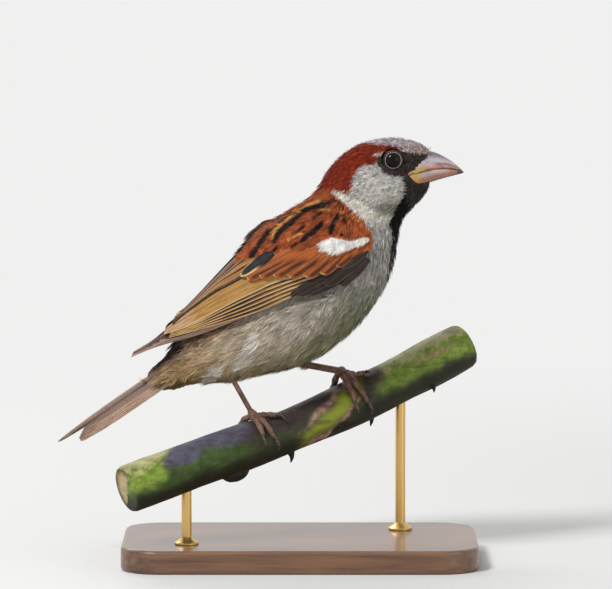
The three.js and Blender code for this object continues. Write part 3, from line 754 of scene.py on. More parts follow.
tracts = featherKinds({
    "face": (1.5, 0.4, 0.5, 12, 14, 0.055, 0.16, 0.44),
    "head": (2.7, 0.6, 0.78, 18, 9, 0.055, 0.15, 0.62),
    "neck": (3.8, 0.95, 1.2, 26, 8, 0.06, 0.18, 0.8),
    "breast": (5.6, 1.4, 1.4, 36, 6, 0.07, 0.09, 0.95),
    "belly": (7.6, 1.6, 1.45, 34, 7, 0.07, 0.09, 1.05),
    "back": (5.4, 1.6, 1.3, 34, 7, 0.085, 0.12, 1.15),
    "rump": (8, 1.5, 0.6, 36, 3, 0.07, 0.08, 1),
})
# Where the coat ends in side view: behind as (height, x) and below as (x, height) up to "belowTo", and the
# sizes that a feather may take to stay inside.
coatEnd = {
    "behind": [(50.2, -48), (54.5, -47), (55.9, -44.8), (58, -42.1), (62, -39.8), (66.1, -38.9), (72, -38)],
    "below": [(-48, 50), (-44.8, 51.8), (-38.6, 52.7), (-35, 52.6), (-28.4, 52.8), (-24.9, 52.6),
              (-18, 52.6)],
    "belowTo": -18, "sizes": (1, 0.8, 0.6, 0.45),
}
legWays = [(-0.73, 0, -0.68), (0.6, -0.05, -0.8)]  # how the feathers about each heel point
# How strongly feathers turn over the cheeks, where they turn to the tail, and the pull of eyes and heels.
flow = {
    "cheekWay": (-1.1, 0, 0.15), "cheekAt": 3.6, "cheekHalf": 1.6, "cheekSide": (0.9, 1.4),
    "tailFrom": (13, 16), "eye": (1.5, 4.2), "heel": (1.8, 3.4),
}
# Distances within which nothing grows, and how far a normal may face along the tail.
bareParts = {"underWing": 9, "bill": 0.45, "billFront": 39, "eye": 3.3, "behindTail": 4.5, "facing": 0.75}
# Feathers beside the wing and about the heels are shorter, and none grow on a step beside the wing.
shorter = {"wingReach": 4, "facing": 0.8, "wing": 0.5, "wingGap": (1, 3.8), "heel": 0.4, "heelGap": (2, 7)}
eyeCentres = np.array([np.array(sum(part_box("eye_" + name), Vector())) / 2 / mm for name in sides])
# How barbs lie in a feather: shares of its length, width and rise, and ranges that they are drawn from. Barbs
# are darker at the root, partly the feathers' greyer bases and partly painted shade between feathers.
barbShape = {
    "start": 0.6, "bow": 0.62, "sweep": 0.42, "sink": 0.2, "camber": 0.35, "tone": 0.08, "root": 0.88,
    "tip": 1.04, "sizes": 0.14, "rises": (0.75, 1.15), "reaches": (0.86, 1.1), "widths": (0.8, 1.15),
    "loose": 0.06, "twist": 0.18, "strands": (0.7, 1.2), "patch": 0.003, "fall": (-0.12, 0.06),
}


def eyeGaps(points):
    return lengths(points[:, None] - eyeCentres[None]).min(axis=1)


def tractOf(points, section, angle):
    turn = np.abs(angle)
    name = np.full(len(points), "breast", dtype="<U8")
    name[section >= 10.5] = "belly"
    name[(turn < 1.15) & (section > 6.8)] = "back"
    name[section >= 14.3] = "rump"
    name[section < 7.8] = "neck"
    name[section < 6.2] = "head"
    name[(section < 2.5) | (eyeGaps(points) < 5.2)] = "face"
    return name


def scatterRoots(rng):
    corners = skinPoints[skinTriangles]
    area = lengths(np.cross(corners[:, 1] - corners[:, 0], corners[:, 2] - corners[:, 0])) / 2
    first = skinTriangles[:, 0]
    tract = tractOf(corners.mean(axis=1), skinSection[first], skinAngle[first])
    spacing = np.array([tracts[name]["spacing"] for name in tract])
    wanted = area / (0.22 * spacing**2)  # far more than will find room
    count = np.floor(wanted + rng.random(len(wanted))).astype(int)
    picked = np.repeat(np.arange(len(count)), count)
    weight = rng.random((len(picked), 2))
    weight = np.where(weight.sum(axis=1, keepdims=True) > 1, 1 - weight, weight)
    weight = np.column_stack([1 - weight.sum(axis=1), weight])
    points = np.einsum("ij,ijk->ik", weight, corners[picked])
    normals = unit(np.einsum("ij,ijk->ik", weight, skinNormals[skinTriangles[picked]]))
    order = rng.permutation(len(points))
    points, normals, gaps = points[order], normals[order], spacing[picked][order]
    tree = pointTree(points)
    free = np.ones(len(points), bool)
    kept = []
    for i, point in enumerate(points):
        if free[i]:
            kept.append(i)
            free[[found[1] for found in tree.find_range(point, gaps[i])]] = False
    return points[kept], normals[kept]


def nodeTree(name):
    points, _, triangles = meshArrays(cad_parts[name].data)
    return surfaceTree(points, triangles)


# Roots under a folded wing, in an eye socket, under the bill or on the tail's own root grow nothing.
def bareOnes(points, normals):
    bare = np.zeros(len(points), bool)
    billTrees = [nodeTree(name) for name in ("bill_upper", "bill_lower")]
    for i, (point, normal) in enumerate(zip(points, normals)):
        start = Vector(point + normal * 0.1)
        bare[i] = wingTree.ray_cast(start, Vector(normal), bareParts["underWing"])[0] is not None
        bare[i] |= any(tree.find_nearest(start, bareParts["bill"])[0] is not None for tree in billTrees)
    bare |= inside(billSide, points[:, 0], points[:, 2]) & (points[:, 0] < bareParts["billFront"])
    bare |= eyeGaps(points) < bareParts["eye"]
    bare |= points[:, 0] < tail["root"][0] - bareParts["behindTail"]
    return bare | (normals @ tailWay > bareParts["facing"])


# How nearly the skin faces straight out of the body's own round form: little on a step beside the wing.
def facingOut(points, normals):
    outward = unit(np.cross(*bodySteps(*bodyPlace(points))))
    return np.abs(np.sum(normals * outward, axis=1))


# How strongly feathers near a centre are drawn another way.
def drawn(points, centre, strength, spread):
    return (strength * np.exp(-((lengths(points - centre) / spread) ** 2)))[:, None]


# Feathers lie along the body to the tail, out from the eyes, back over the cheeks and down about the heels.
def lieOf(points, normals, section, angle, turnSpread, rng):
    section = np.clip(section, 0.4, lastSection - 0.5)
    lie = unit(bodySteps(section, angle)[0])
    cheek = np.exp(-(((section - flow["cheekAt"]) / flow["cheekHalf"]) ** 2))
    cheek = cheek * smoothstep(np.abs(angle), *flow["cheekSide"])
    lie = unit(lie + np.array(flow["cheekWay"]) * cheek[:, None])
    trailing = smoothstep(section, *flow["tailFrom"])[:, None]
    lie = unit(lie * (1 - trailing) + tailWay * trailing)
    for centre in eyeCentres:
        lie += unit(points - centre) * drawn(points, centre, *flow["eye"])
    for heel, way in zip(heels, legWays):
        lie += unit(np.array(way)) * drawn(points, heel, *flow["heel"])
    return strayed(squareTo(lie, normals), normals, turnSpread, rng)


# How short each feather has to be to end inside the coat's outline, and 0 where it can't.
def sizeInside(points, lie, length):
    size = np.zeros(len(points))
    for share in coatEnd["sizes"][::-1]:
        x, _, z = (points + lie * length * share).T
        within = x > np.interp(z, *zip(*coatEnd["behind"]))
        over = (z > np.interp(x, *zip(*coatEnd["below"]))) | (x > coatEnd["belowTo"])
        size[within & over] = share
    return size


# How far the skin falls away below the tangent at each root, at a distance each way.
def fallOf(bed, points, normals, reach, distance):
    fall = np.zeros(len(points))
    for i, (point, normal, way, far) in enumerate(zip(points, normals, reach, distance)):
        found = bed.find_nearest(Vector(point + way * far), far * 1.5)[0]
        if found is not None:
            fall[i] = np.dot(np.array(found) - point, normal) / far**2
    return np.clip(fall, *barbShape["fall"])


def meshFrom(name, points, corners, sizes):
    mesh = bpy.data.meshes.new(name)
    mesh.vertices.add(len(points))
    mesh.vertices.foreach_set("co", (points * mm).astype(np.float32).ravel())
    mesh.loops.add(len(corners))
    mesh.loops.foreach_set("vertex_index", corners.astype(np.int32))
    mesh.polygons.add(len(sizes))
    starts = np.concatenate([[0], np.cumsum(sizes)[:-1]])
    mesh.polygons.foreach_set("loop_start", starts.astype(np.int32))
    mesh.update(calc_edges=True)
    return mesh


def setMap(mesh, name, spots, corners):
    layer = mesh.uv_layers.new(name=name)
    layer.uv.foreach_set("vector", spots[corners].astype(np.float32).ravel())


# Every barb is a strip that tapers to its tip. Its points are counted along it in pairs, and the tip is one.
# roots holds each feather's point, normal and lie, its place on the unwrapped bed, and the bed itself.
def growTufts(name, roots, tract, paintBarbs, rng):
    point, normal, lie = roots["point"], roots["normal"], roots["lie"]
    count, barbs, pairs = len(point), tract["barbs"], 3 if tract["length"] > 3 else 2
    each = (count, barbs, 1)
    size = rng.normal(1, barbShape["sizes"], (2, count)).clip(0.6, 1.5)
    length = tract["length"] * size[0] * roots.get("size", 1)
    width = tract["width"] * size[1]
    rise = tract["rise"] * rng.uniform(*barbShape["rises"], count) * np.minimum(1, roots.get("size", 1))
    across = np.cross(normal, lie)
    fallAhead = fallOf(roots["bed"], point, normal, lie, length)
    fallAside = fallOf(roots["bed"], point, normal, across, width)
    fallAside = (fallAside + fallOf(roots["bed"], point, normal, -across, width)) / 2
    length, width, rise = length[:, None, None], width[:, None, None], rise[:, None, None]
    order = ((np.arange(barbs) // 2)[:, None] + rng.uniform(0.1, 0.9, each)) / (barbs / 2)
    hand = np.where(np.arange(barbs) % 2, 1, -1)[:, None]
    reach = length * (0.5 + 0.5 * order) * rng.uniform(*barbShape["reaches"], each)
    aside = width * np.sqrt(np.clip(1 - order**2, 0, 1)) * hand * rng.uniform(*barbShape["widths"], each)
    start = length * barbShape["start"] * order
    stations = np.array([0, 0.5, 0.8, 1] if pairs == 3 else [0, 0.6, 1])
    bent = stations + barbShape["sweep"] * stations * (stations - 1)
    ahead = start + (reach - start) * bent
    sideways = aside * (stations + barbShape["bow"] * stations * (1 - stations))
    share, beside = ahead / length, sideways / width
    lift = rise * share - barbShape["sink"] * (1 - share) - barbShape["camber"] * rise * beside**2 / 2
    lift = lift + rng.normal(0, barbShape["loose"], each) * rise * share
    lift = lift + fallAhead[:, None, None] * ahead**2 + fallAside[:, None, None] * sideways**2
    axes = np.stack([lie, across, normal], axis=1)
    local = np.stack([ahead, sideways, lift], axis=-1)
    spots = point[:, None, None] + np.einsum("nbkc,ncd->nbkd", local, axes)
    along = unit(np.gradient(local[..., :2], axis=2))
    twist = np.broadcast_to(rng.normal(0, barbShape["twist"], each), along.shape[:3])
    flank = np.einsum("nbkc,ncd->nbkd", np.stack([-along[..., 1], along[..., 0], twist], axis=-1), axes)
    taper = np.array([0.7, 1, 0.75] if pairs == 3 else [0.7, 1])
    half = (tract["strand"] * taper * rng.uniform(*barbShape["strands"], each))[..., None]
    left = spots[:, :, :pairs] + flank[:, :, :pairs] * half
    right = spots[:, :, :pairs] - flank[:, :, :pairs] * half
    paired = np.stack([left, right], axis=3).reshape(count, barbs, 2 * pairs, 3)
    points = np.concatenate([paired, spots[:, :, pairs:]], axis=2)
    perBarb = 2 * pairs + 1
    quads = [[2 * k + 1, 2 * k + 3, 2 * k + 2, 2 * k] for k in range(pairs - 1)]
    pattern = np.array(sum(quads, []) + [2 * pairs - 1, 2 * pairs, 2 * pairs - 2])
    sizes = np.tile([4] * (pairs - 1) + [3], count * barbs)
    corners = (np.arange(count * barbs)[:, None] * perBarb + pattern).ravel()
    doubled = np.append(np.repeat(np.arange(pairs), 2), pairs)
    tone = paintBarbs(spots, share, beside, rng)[:, :, doubled]
    tone = tone * rng.normal(1, barbShape["tone"], (count, 1, 1, 1))
    tone = tone * rng.normal(1, tract["contrast"], (count, barbs, 1, 1))
    mesh = meshFrom(name, points.reshape(-1, 3), corners, sizes)
    setColours(mesh, "plumage", tone.reshape(-1, 3))
    patch = np.stack([share - 0.5, beside / 2], axis=-1)[:, :, doubled]
    low, high = roots["unwrapped"].min(axis=0), roots["unwrapped"].max(axis=0)
    home = 0.02 + 0.96 * (roots["unwrapped"] - low) / np.maximum(high - low, 1e-6)
    setMap(mesh, "OFBake", (home[:, None, None] + barbShape["patch"] * patch).reshape(-1, 2), corners)
    print(name + ":", count, "feathers,", int(np.sum(sizes - 2)), "triangles")
    return mesh


def barbFinish():
    finish = Finish("barbs", {"Roughness": 0.72, "Specular IOR Level": 0.1})
    tone = finish.painted("plumage")
    cloudy = finish.noise(finish.place(), 420, 3).above(0.25, 0.75)
    finish.look(finish.blend(cloudy * 0.16, tone, (0.6, 0.58, 0.55, 1), "MULTIPLY"), 0.62 + cloudy * 0.2)
    return finish


barbs = barbFinish()


def growCoat():
    rng = np.random.default_rng(11)
    points, normals = scatterRoots(rng)
    reach = shorter["wingReach"]
    wingGap = np.array([wingTree.find_nearest(Vector(point), reach)[3] or reach for point in points])
    aside = (wingGap < reach) & (facingOut(points, normals) < shorter["facing"])
    keep = ~bareOnes(points, normals) & ~aside
    points, normals, wingGap = points[keep], normals[keep], wingGap[keep]
    section, angle = bodyPlace(points)
    name = tractOf(points, section, angle)
    short = lerp(shorter["heel"], 1, heelShare(points, *shorter["heelGap"]))
    short = short * lerp(shorter["wing"], 1, smoothstep(wingGap, *shorter["wingGap"]))
    for tractName, tract in tracts.items():
        here = name == tractName
        sections, angles = section[here], angle[here]

        def paintBarbs(spots, share, beside, rng):
            ends = spots[:, :, -1].reshape(-1, 3)
            sectionOf = np.repeat(sections, tract["barbs"]) + 0.04 * tract["length"]
            tone = plumage(ends, sectionOf, np.repeat(angles, tract["barbs"]), rng)
            # Darker towards the root, partly painted shade between feathers, and a little paler at the tip.
            shades = [barbShape["root"], 1, barbShape["tip"]]
            rootShadeToTip = np.interp(np.linspace(0, 1, share.shape[2]), [0, 0.6, 1], shades)
            return tone.reshape(*share.shape[:2], 1, 3) * rootShadeToTip[None, None, :, None]

        lie = lieOf(points[here], normals[here], sections, angles, tract["turn"], rng)
        size = sizeInside(points[here], lie, tract["length"]) * short[here]
        grown = size > 0
        sections, angles = sections[grown], angles[grown]
        roots = {"point": points[here][grown], "normal": normals[here][grown], "lie": lie[grown],
                 "size": size[grown], "bed": skinTree, "unwrapped": np.column_stack([angles, sections])}
        mesh = growTufts("feathers_" + tractName, roots, tract, paintBarbs, rng)
        settleMesh("feathers_" + tractName, mesh, barbs)


growCoat()

# Vanes: flat feathers with a shaft, laid one over another. Each is a thin closed lens of rows by columns.

vaneShape = {"rows": 22, "root": 0.5, "middle": 0.17, "edge": 0.05}
vaneColumns = np.array([-1, -0.93, -0.8, -0.55, -0.25, -0.06, 0.06, 0.25, 0.55, 0.8, 0.93, 1])
# Each kind has its web and rim colours, the rim's width at root and tip, and its strength below, above and at
# the tip. Some have an end or a lower edge of another colour, or a streak at a place across.
vaneTones = {
    # The primaries' web is partly their own dark brown and partly painted shadow where they show below the
    # secondaries.
    "primary": {"web": (50, 39, 35), "end": (104, 74, 72), "rim": (216, 182, 162), "width": (0.14, 0.36),
                "rims": (0.8, 0.6, 1), "endFrom": 0.84},
    "secondary": {"web": (42, 30, 25), "rim": (214, 170, 112), "width": (0.56, 0.26), "rims": (1, 0, 0.9)},
    "tertialBlack": {"web": (20, 17, 17), "rim": (230, 192, 136), "width": (0.45, 0.6), "rims": (1, 0.7, 1),
                     "rimFrom": 0.4},
    "tertialPale": {"web": (130, 92, 62), "rim": (212, 192, 164), "width": (0.35, 0.35), "rims": (0, 1, 1),
                    "edge": (58, 36, 32), "edgeWidth": 0.5},
    "tertialRed": {"web": (184, 132, 74), "rim": (206, 178, 138), "width": (0.3, 0.3), "rims": (0, 0.6, 1),
                   "edge": (92, 48, 36), "edgeWidth": 0.35},
    "tertialLine": {"web": (178, 134, 76), "rim": (206, 178, 138), "width": (0.3, 0.3), "rims": (0, 0, 1),
                    "edge": (50, 34, 30), "edgeWidth": 0.85},
    "tertialGold": {"web": (184, 139, 78), "end": (192, 156, 118), "rim": (216, 186, 146),
                    "width": (0.5, 0.3), "rims": (0.7, 0, 1)},
    "greater": {"web": (174, 90, 34), "rim": (228, 186, 128), "width": (0.3, 0.42), "rims": (0, 0, 1),
                "streak": (40, 24, 18), "streakWidth": 0.5, "streakAt": -0.62, "streakFrom": 0.35},
    "alula": {"web": (42, 33, 29), "rim": (150, 116, 92), "width": (0.16, 0.24), "rims": (0.45, 0.3, 0.8)},
    "tail": {"web": (140, 112, 96), "rim": (214, 184, 156), "width": (0.3, 0.3), "rims": (0.9, 0, 0.5),
             "streak": (92, 64, 56), "streakWidth": 0.35, "streakAt": -0.5, "streakFrom": -1},
    # The innermost tail feather's wide dark strip along its inner edge is painted shade in the gap between
    # the tail's halves.
    "tailInnerShaded": {"web": (140, 112, 96), "rim": (214, 184, 156), "width": (0.3, 0.3), "rims": (0.9, 0, 0.3),
                  "streak": (34, 24, 22), "streakWidth": 1.15, "streakAt": 1, "streakFrom": -0.1},
}


def vaneTone(kind, share, column, half, length):
    tones = vaneTones[kind]
    width, (lower, upper, tip) = lerp(*tones["width"], smoothstep(share, 0.2, 0.65)), tones["rims"]
    below, above = half * (1 + column), half * (1 - column)
    rim = lower * (1 - smoothstep(below, width * 0.6, width * 1.2))
    rim = np.maximum(rim, upper * (1 - smoothstep(above, width * 0.6, width * 1.2)))
    rim = np.maximum(rim, tip * (1 - smoothstep((1 - share) * length, width * 0.6, width * 1.5)))
    rimFrom = tones.get("rimFrom", -1)
    rim = rim * smoothstep(share, rimFrom, rimFrom + 0.3)
    web = np.array(tones["web"], float) * np.ones((*share.shape, 1))
    if "end" in tones:
        endFrom = tones.get("endFrom", 0.7)
        ending = smoothstep(share, endFrom, endFrom + 0.14)
        web = lerp(web, np.array(tones["end"]), ending[..., None])
    if "edge" in tones:
        dark = 1 - smoothstep(below, tones["edgeWidth"] * 0.7, tones["edgeWidth"] * 1.2)
        web = lerp(web, np.array(tones["edge"]), dark[..., None])
    if "streak" in tones:
        near = np.exp(-((half * (column - tones["streakAt"]) / tones["streakWidth"]) ** 2))
        near = near * (1 - smoothstep(share, 0.88, 0.97))
        near = near * smoothstep(share, tones["streakFrom"], tones["streakFrom"] + 0.2)
        web = lerp(web, np.array(tones["streak"]), near[..., None])
    return lerp(web, np.array(tones["rim"]), rim[..., None])


# Places of the rows, closer together towards the tip, and the half width there as a share of the widest. A
# higher point makes a blunter tip.
def webOutline(point):
    share = 1 - (1 - np.linspace(0, 1, vaneShape["rows"])) ** 1.5
    opened = vaneShape["root"] + (1 - vaneShape["root"]) * smoothstep(share, 0, 0.3)
    return share, opened * np.sqrt(np.clip(1 - share**point, 0, 1)) + 0.004


# One vane from its middle sheet, the way outward, grids of its shares and columns, and its sizes.
def vaneFrom(sheet, outward, share, column, half, length, kind, tone=None):
    forward, sideways = np.gradient(sheet, axis=0), np.gradient(sheet, axis=1)
    normal = unit(np.cross(forward, sideways))
    flipped = np.sum(normal * outward) < 0
    normal = -normal if flipped else normal
    thick = vaneShape["edge"] + (vaneShape["middle"] - vaneShape["edge"]) * (1 - column**2)
    tone = vaneTone(kind, share, column, half, length) if tone is None else tone
    spots = np.stack([half * column, share * length], axis=-1)
    return {"top": sheet + normal * thick[..., None] / 2, "bottom": sheet - normal * thick[..., None] / 2,
            "flipped": flipped, "tone": tone, "spots": spots, "share": share, "column": column}


# Joins vanes into one piece. Each has two cells of the OFBake map, for its top and its underside.
def joinVanes(name, vanes, finish, replaced=()):
    points, corners, tones, spots, homes = [], [], [], [], []
    cells = math.ceil(math.sqrt(2 * len(vanes)))
    first = 0
    for i, vane in enumerate(vanes):
        rows, columns = vane["share"].shape
        count = rows * columns
        index = np.arange(count).reshape(rows, columns)
        ring = np.concatenate([index[:, 0], index[-1, 1:], index[-2::-1, -1], index[0, -2:0:-1]])
        top = gridQuads(rows, columns)
        bottom = top[:, ::-1] + count
        rim = np.stack([ring, np.roll(ring, -1), np.roll(ring, -1) + count, ring + count], axis=1)
        inCell = np.stack([vane["share"], (vane["column"] + 1) / 2], axis=-1).reshape(-1, 2)
        cell = [np.array(divmod(2 * i + k, cells)) for k in (0, 1)]
        home = [(cell[k] + 0.08 + 0.84 * inCell) / cells for k in (0, 1)]
        outside = (cell[0] + 0.5 + 0.88 * (inCell - 0.5)) / cells
        rimHome = [home[0][rim[:, 0]], home[0][rim[:, 1]], outside[rim[:, 1]], outside[rim[:, 0]]]
        rimHome = np.stack(rimHome, axis=1)
        quads = np.vstack([top, bottom, rim[:, ::-1]])
        ofQuads = np.concatenate([home[0][top], home[1][bottom - count], rimHome[:, ::-1]])
        if vane["flipped"]:
            quads, ofQuads = quads[:, ::-1], ofQuads[:, ::-1]
        points += [vane["top"].reshape(-1, 3), vane["bottom"].reshape(-1, 3)]
        tones += [vane["tone"].reshape(-1, 3), vane["tone"].reshape(-1, 3) * 0.85]
        spots += [vane["spots"].reshape(-1, 2) + (0, 60 * i)] * 2
        corners.append(quads + first)
        homes.append(ofQuads)
        first += 2 * count
    corners = np.vstack(corners)
    mesh = meshFrom(name, np.vstack(points), corners.ravel(), np.full(len(corners), 4))
    setColours(mesh, "plumage", np.vstack(tones))
    setMap(mesh, "vane", np.vstack(spots), corners.ravel())
    setMap(mesh, "OFBake", np.vstack(homes).reshape(-1, 2), np.arange(corners.size))
    print(name + ":", len(vanes), "vanes,", 2 * len(corners), "triangles")
    return settleMesh(name, mesh, finish, replaced)


def vaneFinish():
    finish = Finish("vanes", {"Roughness": 0.55, "Specular IOR Level": 0.22})
    tone = finish.painted("plumage")
    spot = finish.node("ShaderNodeUVMap", {"uv_map": "vane"}, {}, "UV")
    apart = finish.node("ShaderNodeSeparateXYZ", {}, {"Vector": spot}, "X")
    along = Wire(finish, apart.socket.node.outputs["Y"])
    aside = apart.maths("ABSOLUTE", apart)
    fine = finish.noise(finish.joined((along - aside * 1.3) * 3.2, aside * 0.35), 1.6, 3, 0.65)
    patchy = finish.noise(finish.joined(along * 0.5, aside * 0.8), 1, 2)
    lengthwise = finish.noise(finish.joined(aside * 2.6, along * 0.16), 1, 3)
    darker = finish.blend(fine.above(0.35, 0.7) * 0.22, tone, (0.45, 0.42, 0.4, 1), "MULTIPLY")
    darker = finish.blend(lengthwise.above(0.46, 0.62) * 0.6, darker, (0.44, 0.36, 0.3, 1), "MULTIPLY")
    paler = finish.blend(patchy.above(0.5, 0.8) * 0.04, darker, (0.6, 0.5, 0.4, 1))
    shaft = 1 - aside.above(0.1, 0.2)
    finish.look(finish.blend(shaft * 0.6, paler, (0.05, 0.03, 0.02, 1)), 0.45 + fine * 0.25)
    finish.bump(fine * 0.6 + shaft, 0.35, 0.0002)
    return finish


vanes = vaneFinish()


# A vane on the folded wing. Its line is in shares along and of the wrap, and an edged one has it at its
# lower edge.
def wingVane(side, line, half, height, kind, edged=False, tilt=0.25, point=6):
    share, opened = webOutline(point)
    middle = alongCurve(line, share)
    step = np.gradient(middle, axis=0) + 1e-9
    beside = [wingPoint(side, middle[:, 0], middle[:, 1] + way * 0.02, height) for way in (1, -1)]
    perWrap = lengths(beside[0] - beside[1]) / 0.04
    steps = np.column_stack([step[:, 0] * wingLength, step[:, 1] * perWrap])
    way, length = unit(steps), np.sum(lengths(steps))
    share, column = np.meshgrid(share, vaneColumns, indexing="ij")
    halfHere = np.broadcast_to((half * opened)[:, None], share.shape)
    aside = halfHere * (column + (1 if edged else 0))
    along = middle[:, :1] + way[:, 1:] * aside / wingLength
    wrap = middle[:, 1:] - way[:, :1] * aside / perWrap[:, None]
    rise = height - tilt * column + 0.2 * (1 - column**2)
    sheet = wingPoint(side, along, wrap, rise)
    outward = wingPoint(side, along, wrap, rise + 1) - sheet
    return vaneFrom(sheet, outward, share, column, halfHere, length, kind)


def spread(first, last, count):
    return [first + (last - first) * i / (count - 1) for i in range(count)]


# A line's points are a share along, one of the wrap, and what that gains from the inmost vane to the outmost.
flightFeathers = {
    "primary": {"count": 5, "half": 1.9, "narrows": 0.25, "heights": (0.95, 0.2), "tips": (0.875, 1),
                "tilt": 0.12, "point": 9,
                "line": [(0.2, 0.9, 0.05), (0.35, 0.9, 0.05), (0.6, 0.885, 0.055), (0.8, 0.85, 0.125),
                         (1, 0.72, 0.12)]},
    "secondary": {"count": 5, "half": 2.4, "narrows": 0, "heights": (1.75, 1.2), "tips": (0.815, 0.835),
                  "tilt": 0.25, "point": 6,
                  "line": [(0.2, 0.8, 0.135), (0.35, 0.797, 0.14), (0.47, 0.765, 0.17), (0.6, 0.735, 0.155),
                           (0.71, 0.72, 0.122), (0.77, 0.7, 0.11), (1, 0.62, 0.12)]},
}
# These have a line, half width and height, and tertials also a kind and whether the line is their edge.
tertials = [
    ([(0.26, 0.8), (0.322, 0.768), (0.38, 0.752), (0.44, 0.742), (0.501, 0.727), (0.579, 0.708),
      (0.658, 0.7), (0.717, 0.7), (0.79, 0.685), (0.848, 0.6)], 3.2, 2, "tertialGold", True),
    ([(0.3, 0.64), (0.4, 0.585), (0.477, 0.545), (0.549, 0.508), (0.587, 0.478), (0.629, 0.458),
      (0.67, 0.445), (0.712, 0.438), (0.756, 0.448), (0.8, 0.51)], 1.9, 2.3, "tertialLine", True),
    ([(0.3, 0.52), (0.4, 0.48), (0.463, 0.462), (0.535, 0.416), (0.575, 0.382), (0.616, 0.355),
      (0.66, 0.338), (0.7, 0.338), (0.74, 0.365), (0.785, 0.43)], 1.5, 2.5, "tertialRed", True),
    ([(0.3, 0.42), (0.4, 0.405), (0.465, 0.39), (0.527, 0.355), (0.569, 0.33), (0.612, 0.305), (0.66, 0.29),
      (0.7, 0.29), (0.74, 0.33), (0.775, 0.4)], 1.5, 2.65, "tertialPale", True),
    ([(0.26, 0.27), (0.4, 0.262), (0.52, 0.238), (0.6, 0.212), (0.67, 0.2), (0.72, 0.21), (0.76, 0.28)],
     1.9, 2.75, "tertialPale", True),
    ([(0.33, 0.505), (0.37, 0.515), (0.42, 0.525), (0.481, 0.53)], 1.8, 3.3, "tertialBlack", False),
]
greaterCoverts = {
    "half": 2.8, "narrows": 0.25, "heights": (3.05, 2.7), "tilt": 0.12, "point": 14, "bow": 0.035,
    "roots": ((0.2, 0.5), (-0.02, 0.43)),
    "tips": [(0.462, 0.575), (0.415, 0.63), (0.366, 0.685), (0.315, 0.745), (0.26, 0.79), (0.2, 0.8),
             (0.14, 0.745), (0.09, 0.69)],
}
frontVanes = [
    ([(0.1, 0.8), (0.34, 0.92)], 1.5, 1.9), ([(0.09, 0.84), (0.31, 0.95)], 1.5, 1.8),
    ([(0.08, 0.88), (0.27, 0.98)], 1.4, 1.7), ([(0.02, 0.74), (0.11, 0.82), (0.2, 0.935)], 2.1, 2.4),
    ([(0.01, 0.84), (0.15, 0.98)], 1.4, 2.2), ([(0, 0.62), (0.05, 0.7), (0.118, 0.8)], 1.5, 2.65),
]


# Flight feathers of one kind, the outermost first.
def flightVanes(side, kind):
    row = flightFeathers[kind]
    places = list(zip(spread(*row["heights"], row["count"]), spread(*row["tips"], row["count"])))
    made = []
    for i, (height, tip) in reversed(list(enumerate(places))):
        out = i / (row["count"] - 1)
        line = [(min(at, tip - 0.04) if at < 1 else tip, wrap + gain * out)
                for at, wrap, gain in row["line"]]
        half = row["half"] * (1 - row["narrows"] * out)
        made.append(wingVane(side, line, half, height, kind, True, row["tilt"], row["point"]))
    return made


def makeWing(name, side):
    flight = flightVanes(side, "primary") + flightVanes(side, "secondary")
    flightNodes = [f"wing_{name}_primaries", f"wing_{name}_secondaries"]
    joinVanes(f"flight_feathers_{name}", flight, vanes, flightNodes)
    upper = [wingVane(side, *tertial, tilt=0.1) for tertial in tertials]
    coverts = [wingVane(side, *front, "alula") for front in frontVanes]
    row = greaterCoverts
    last = len(row["tips"]) - 1
    roots = [np.array(root) for root in row["roots"]]
    heights = spread(*row["heights"], last + 1)
    for i, (tip, height) in reversed(list(enumerate(zip(row["tips"], heights)))):
        root = roots[0] + (roots[1] - roots[0]) * i / last
        halfway = (root + tip) / 2 + (0, row["bow"])
        half = row["half"] * (1 - row["narrows"] * i / last)
        line = [root, halfway, tip]
        coverts.append(wingVane(side, line, half, height, "greater", False, row["tilt"], row["point"]))
    joinVanes(f"tertials_{name}", upper, vanes)
    joinVanes(f"coverts_{name}", coverts, vanes, [f"wing_{name}_coverts"])


for sideName, sideSign in sides.items():
    makeWing(sideName, sideSign)

# Tail: twelve feathers in two halves that reach differently far


def makeTail(name, side):
    shape = tail[name]
    slope = tail["slope"] + shape["lower"]
    way = Vector((-math.cos(slope), 0, -math.sin(slope)))
    upward = Vector((-math.sin(slope), 0, math.cos(slope)))
    upward.rotate(Quaternion(way, -tail["roll"]))
    outward = way.cross(upward)
    outward *= 1 if outward.y * side > 0 else -1
    made = []
    for i in range(tail["feathers"]):
        turn = tail["first"] + tail["spread"] * i
        along = np.array(way * math.cos(turn) + outward * math.sin(turn))
        across = np.array(outward * math.cos(turn) - way * math.sin(turn))
        beside = outward * (shape["start"] + tail["step"] * i) - upward * tail["layer"] * i
        root = np.array((tail["root"][0], 0, tail["root"][1])) + np.array(beside)
        length = shape["length"] - tail["shorter"] * max(0, 1 - i / 3)
        share, opened = webOutline(tail["point"])
        share, column = np.meshgrid(share, vaneColumns, indexing="ij")
        half = shape["half"] * (tail["narrow"] + tail["widens"] * smoothstep(share, 0.1, 0.8))
        half = half * opened[:, None]
        rise = 0.25 * (1 - column**2) - 0.12 * column
        sheet = root + along * (share * length)[..., None] + across * (half * column)[..., None]
        sheet = sheet + np.array(upward) * rise[..., None]
        kind = "tail" if i else "tailInnerShaded"
        made.append(vaneFrom(sheet, np.array(upward), share, -column, half, length, kind))
    joinVanes(f"tail_feathers_{name}", made, vanes, [f"tail_{name}"])


for sideName, sideSign in sides.items():
    makeTail(sideName, sideSign)

# Small feathers of the wing: lesser coverts, the white bar, and the shoulder feathers that hang over its top


# The part of the wing that carries small feathers.
def wingBed(side, height):
    return wingGrid(side, (-0.06, 0.6), (-0.12, 1), height, (50, 40))


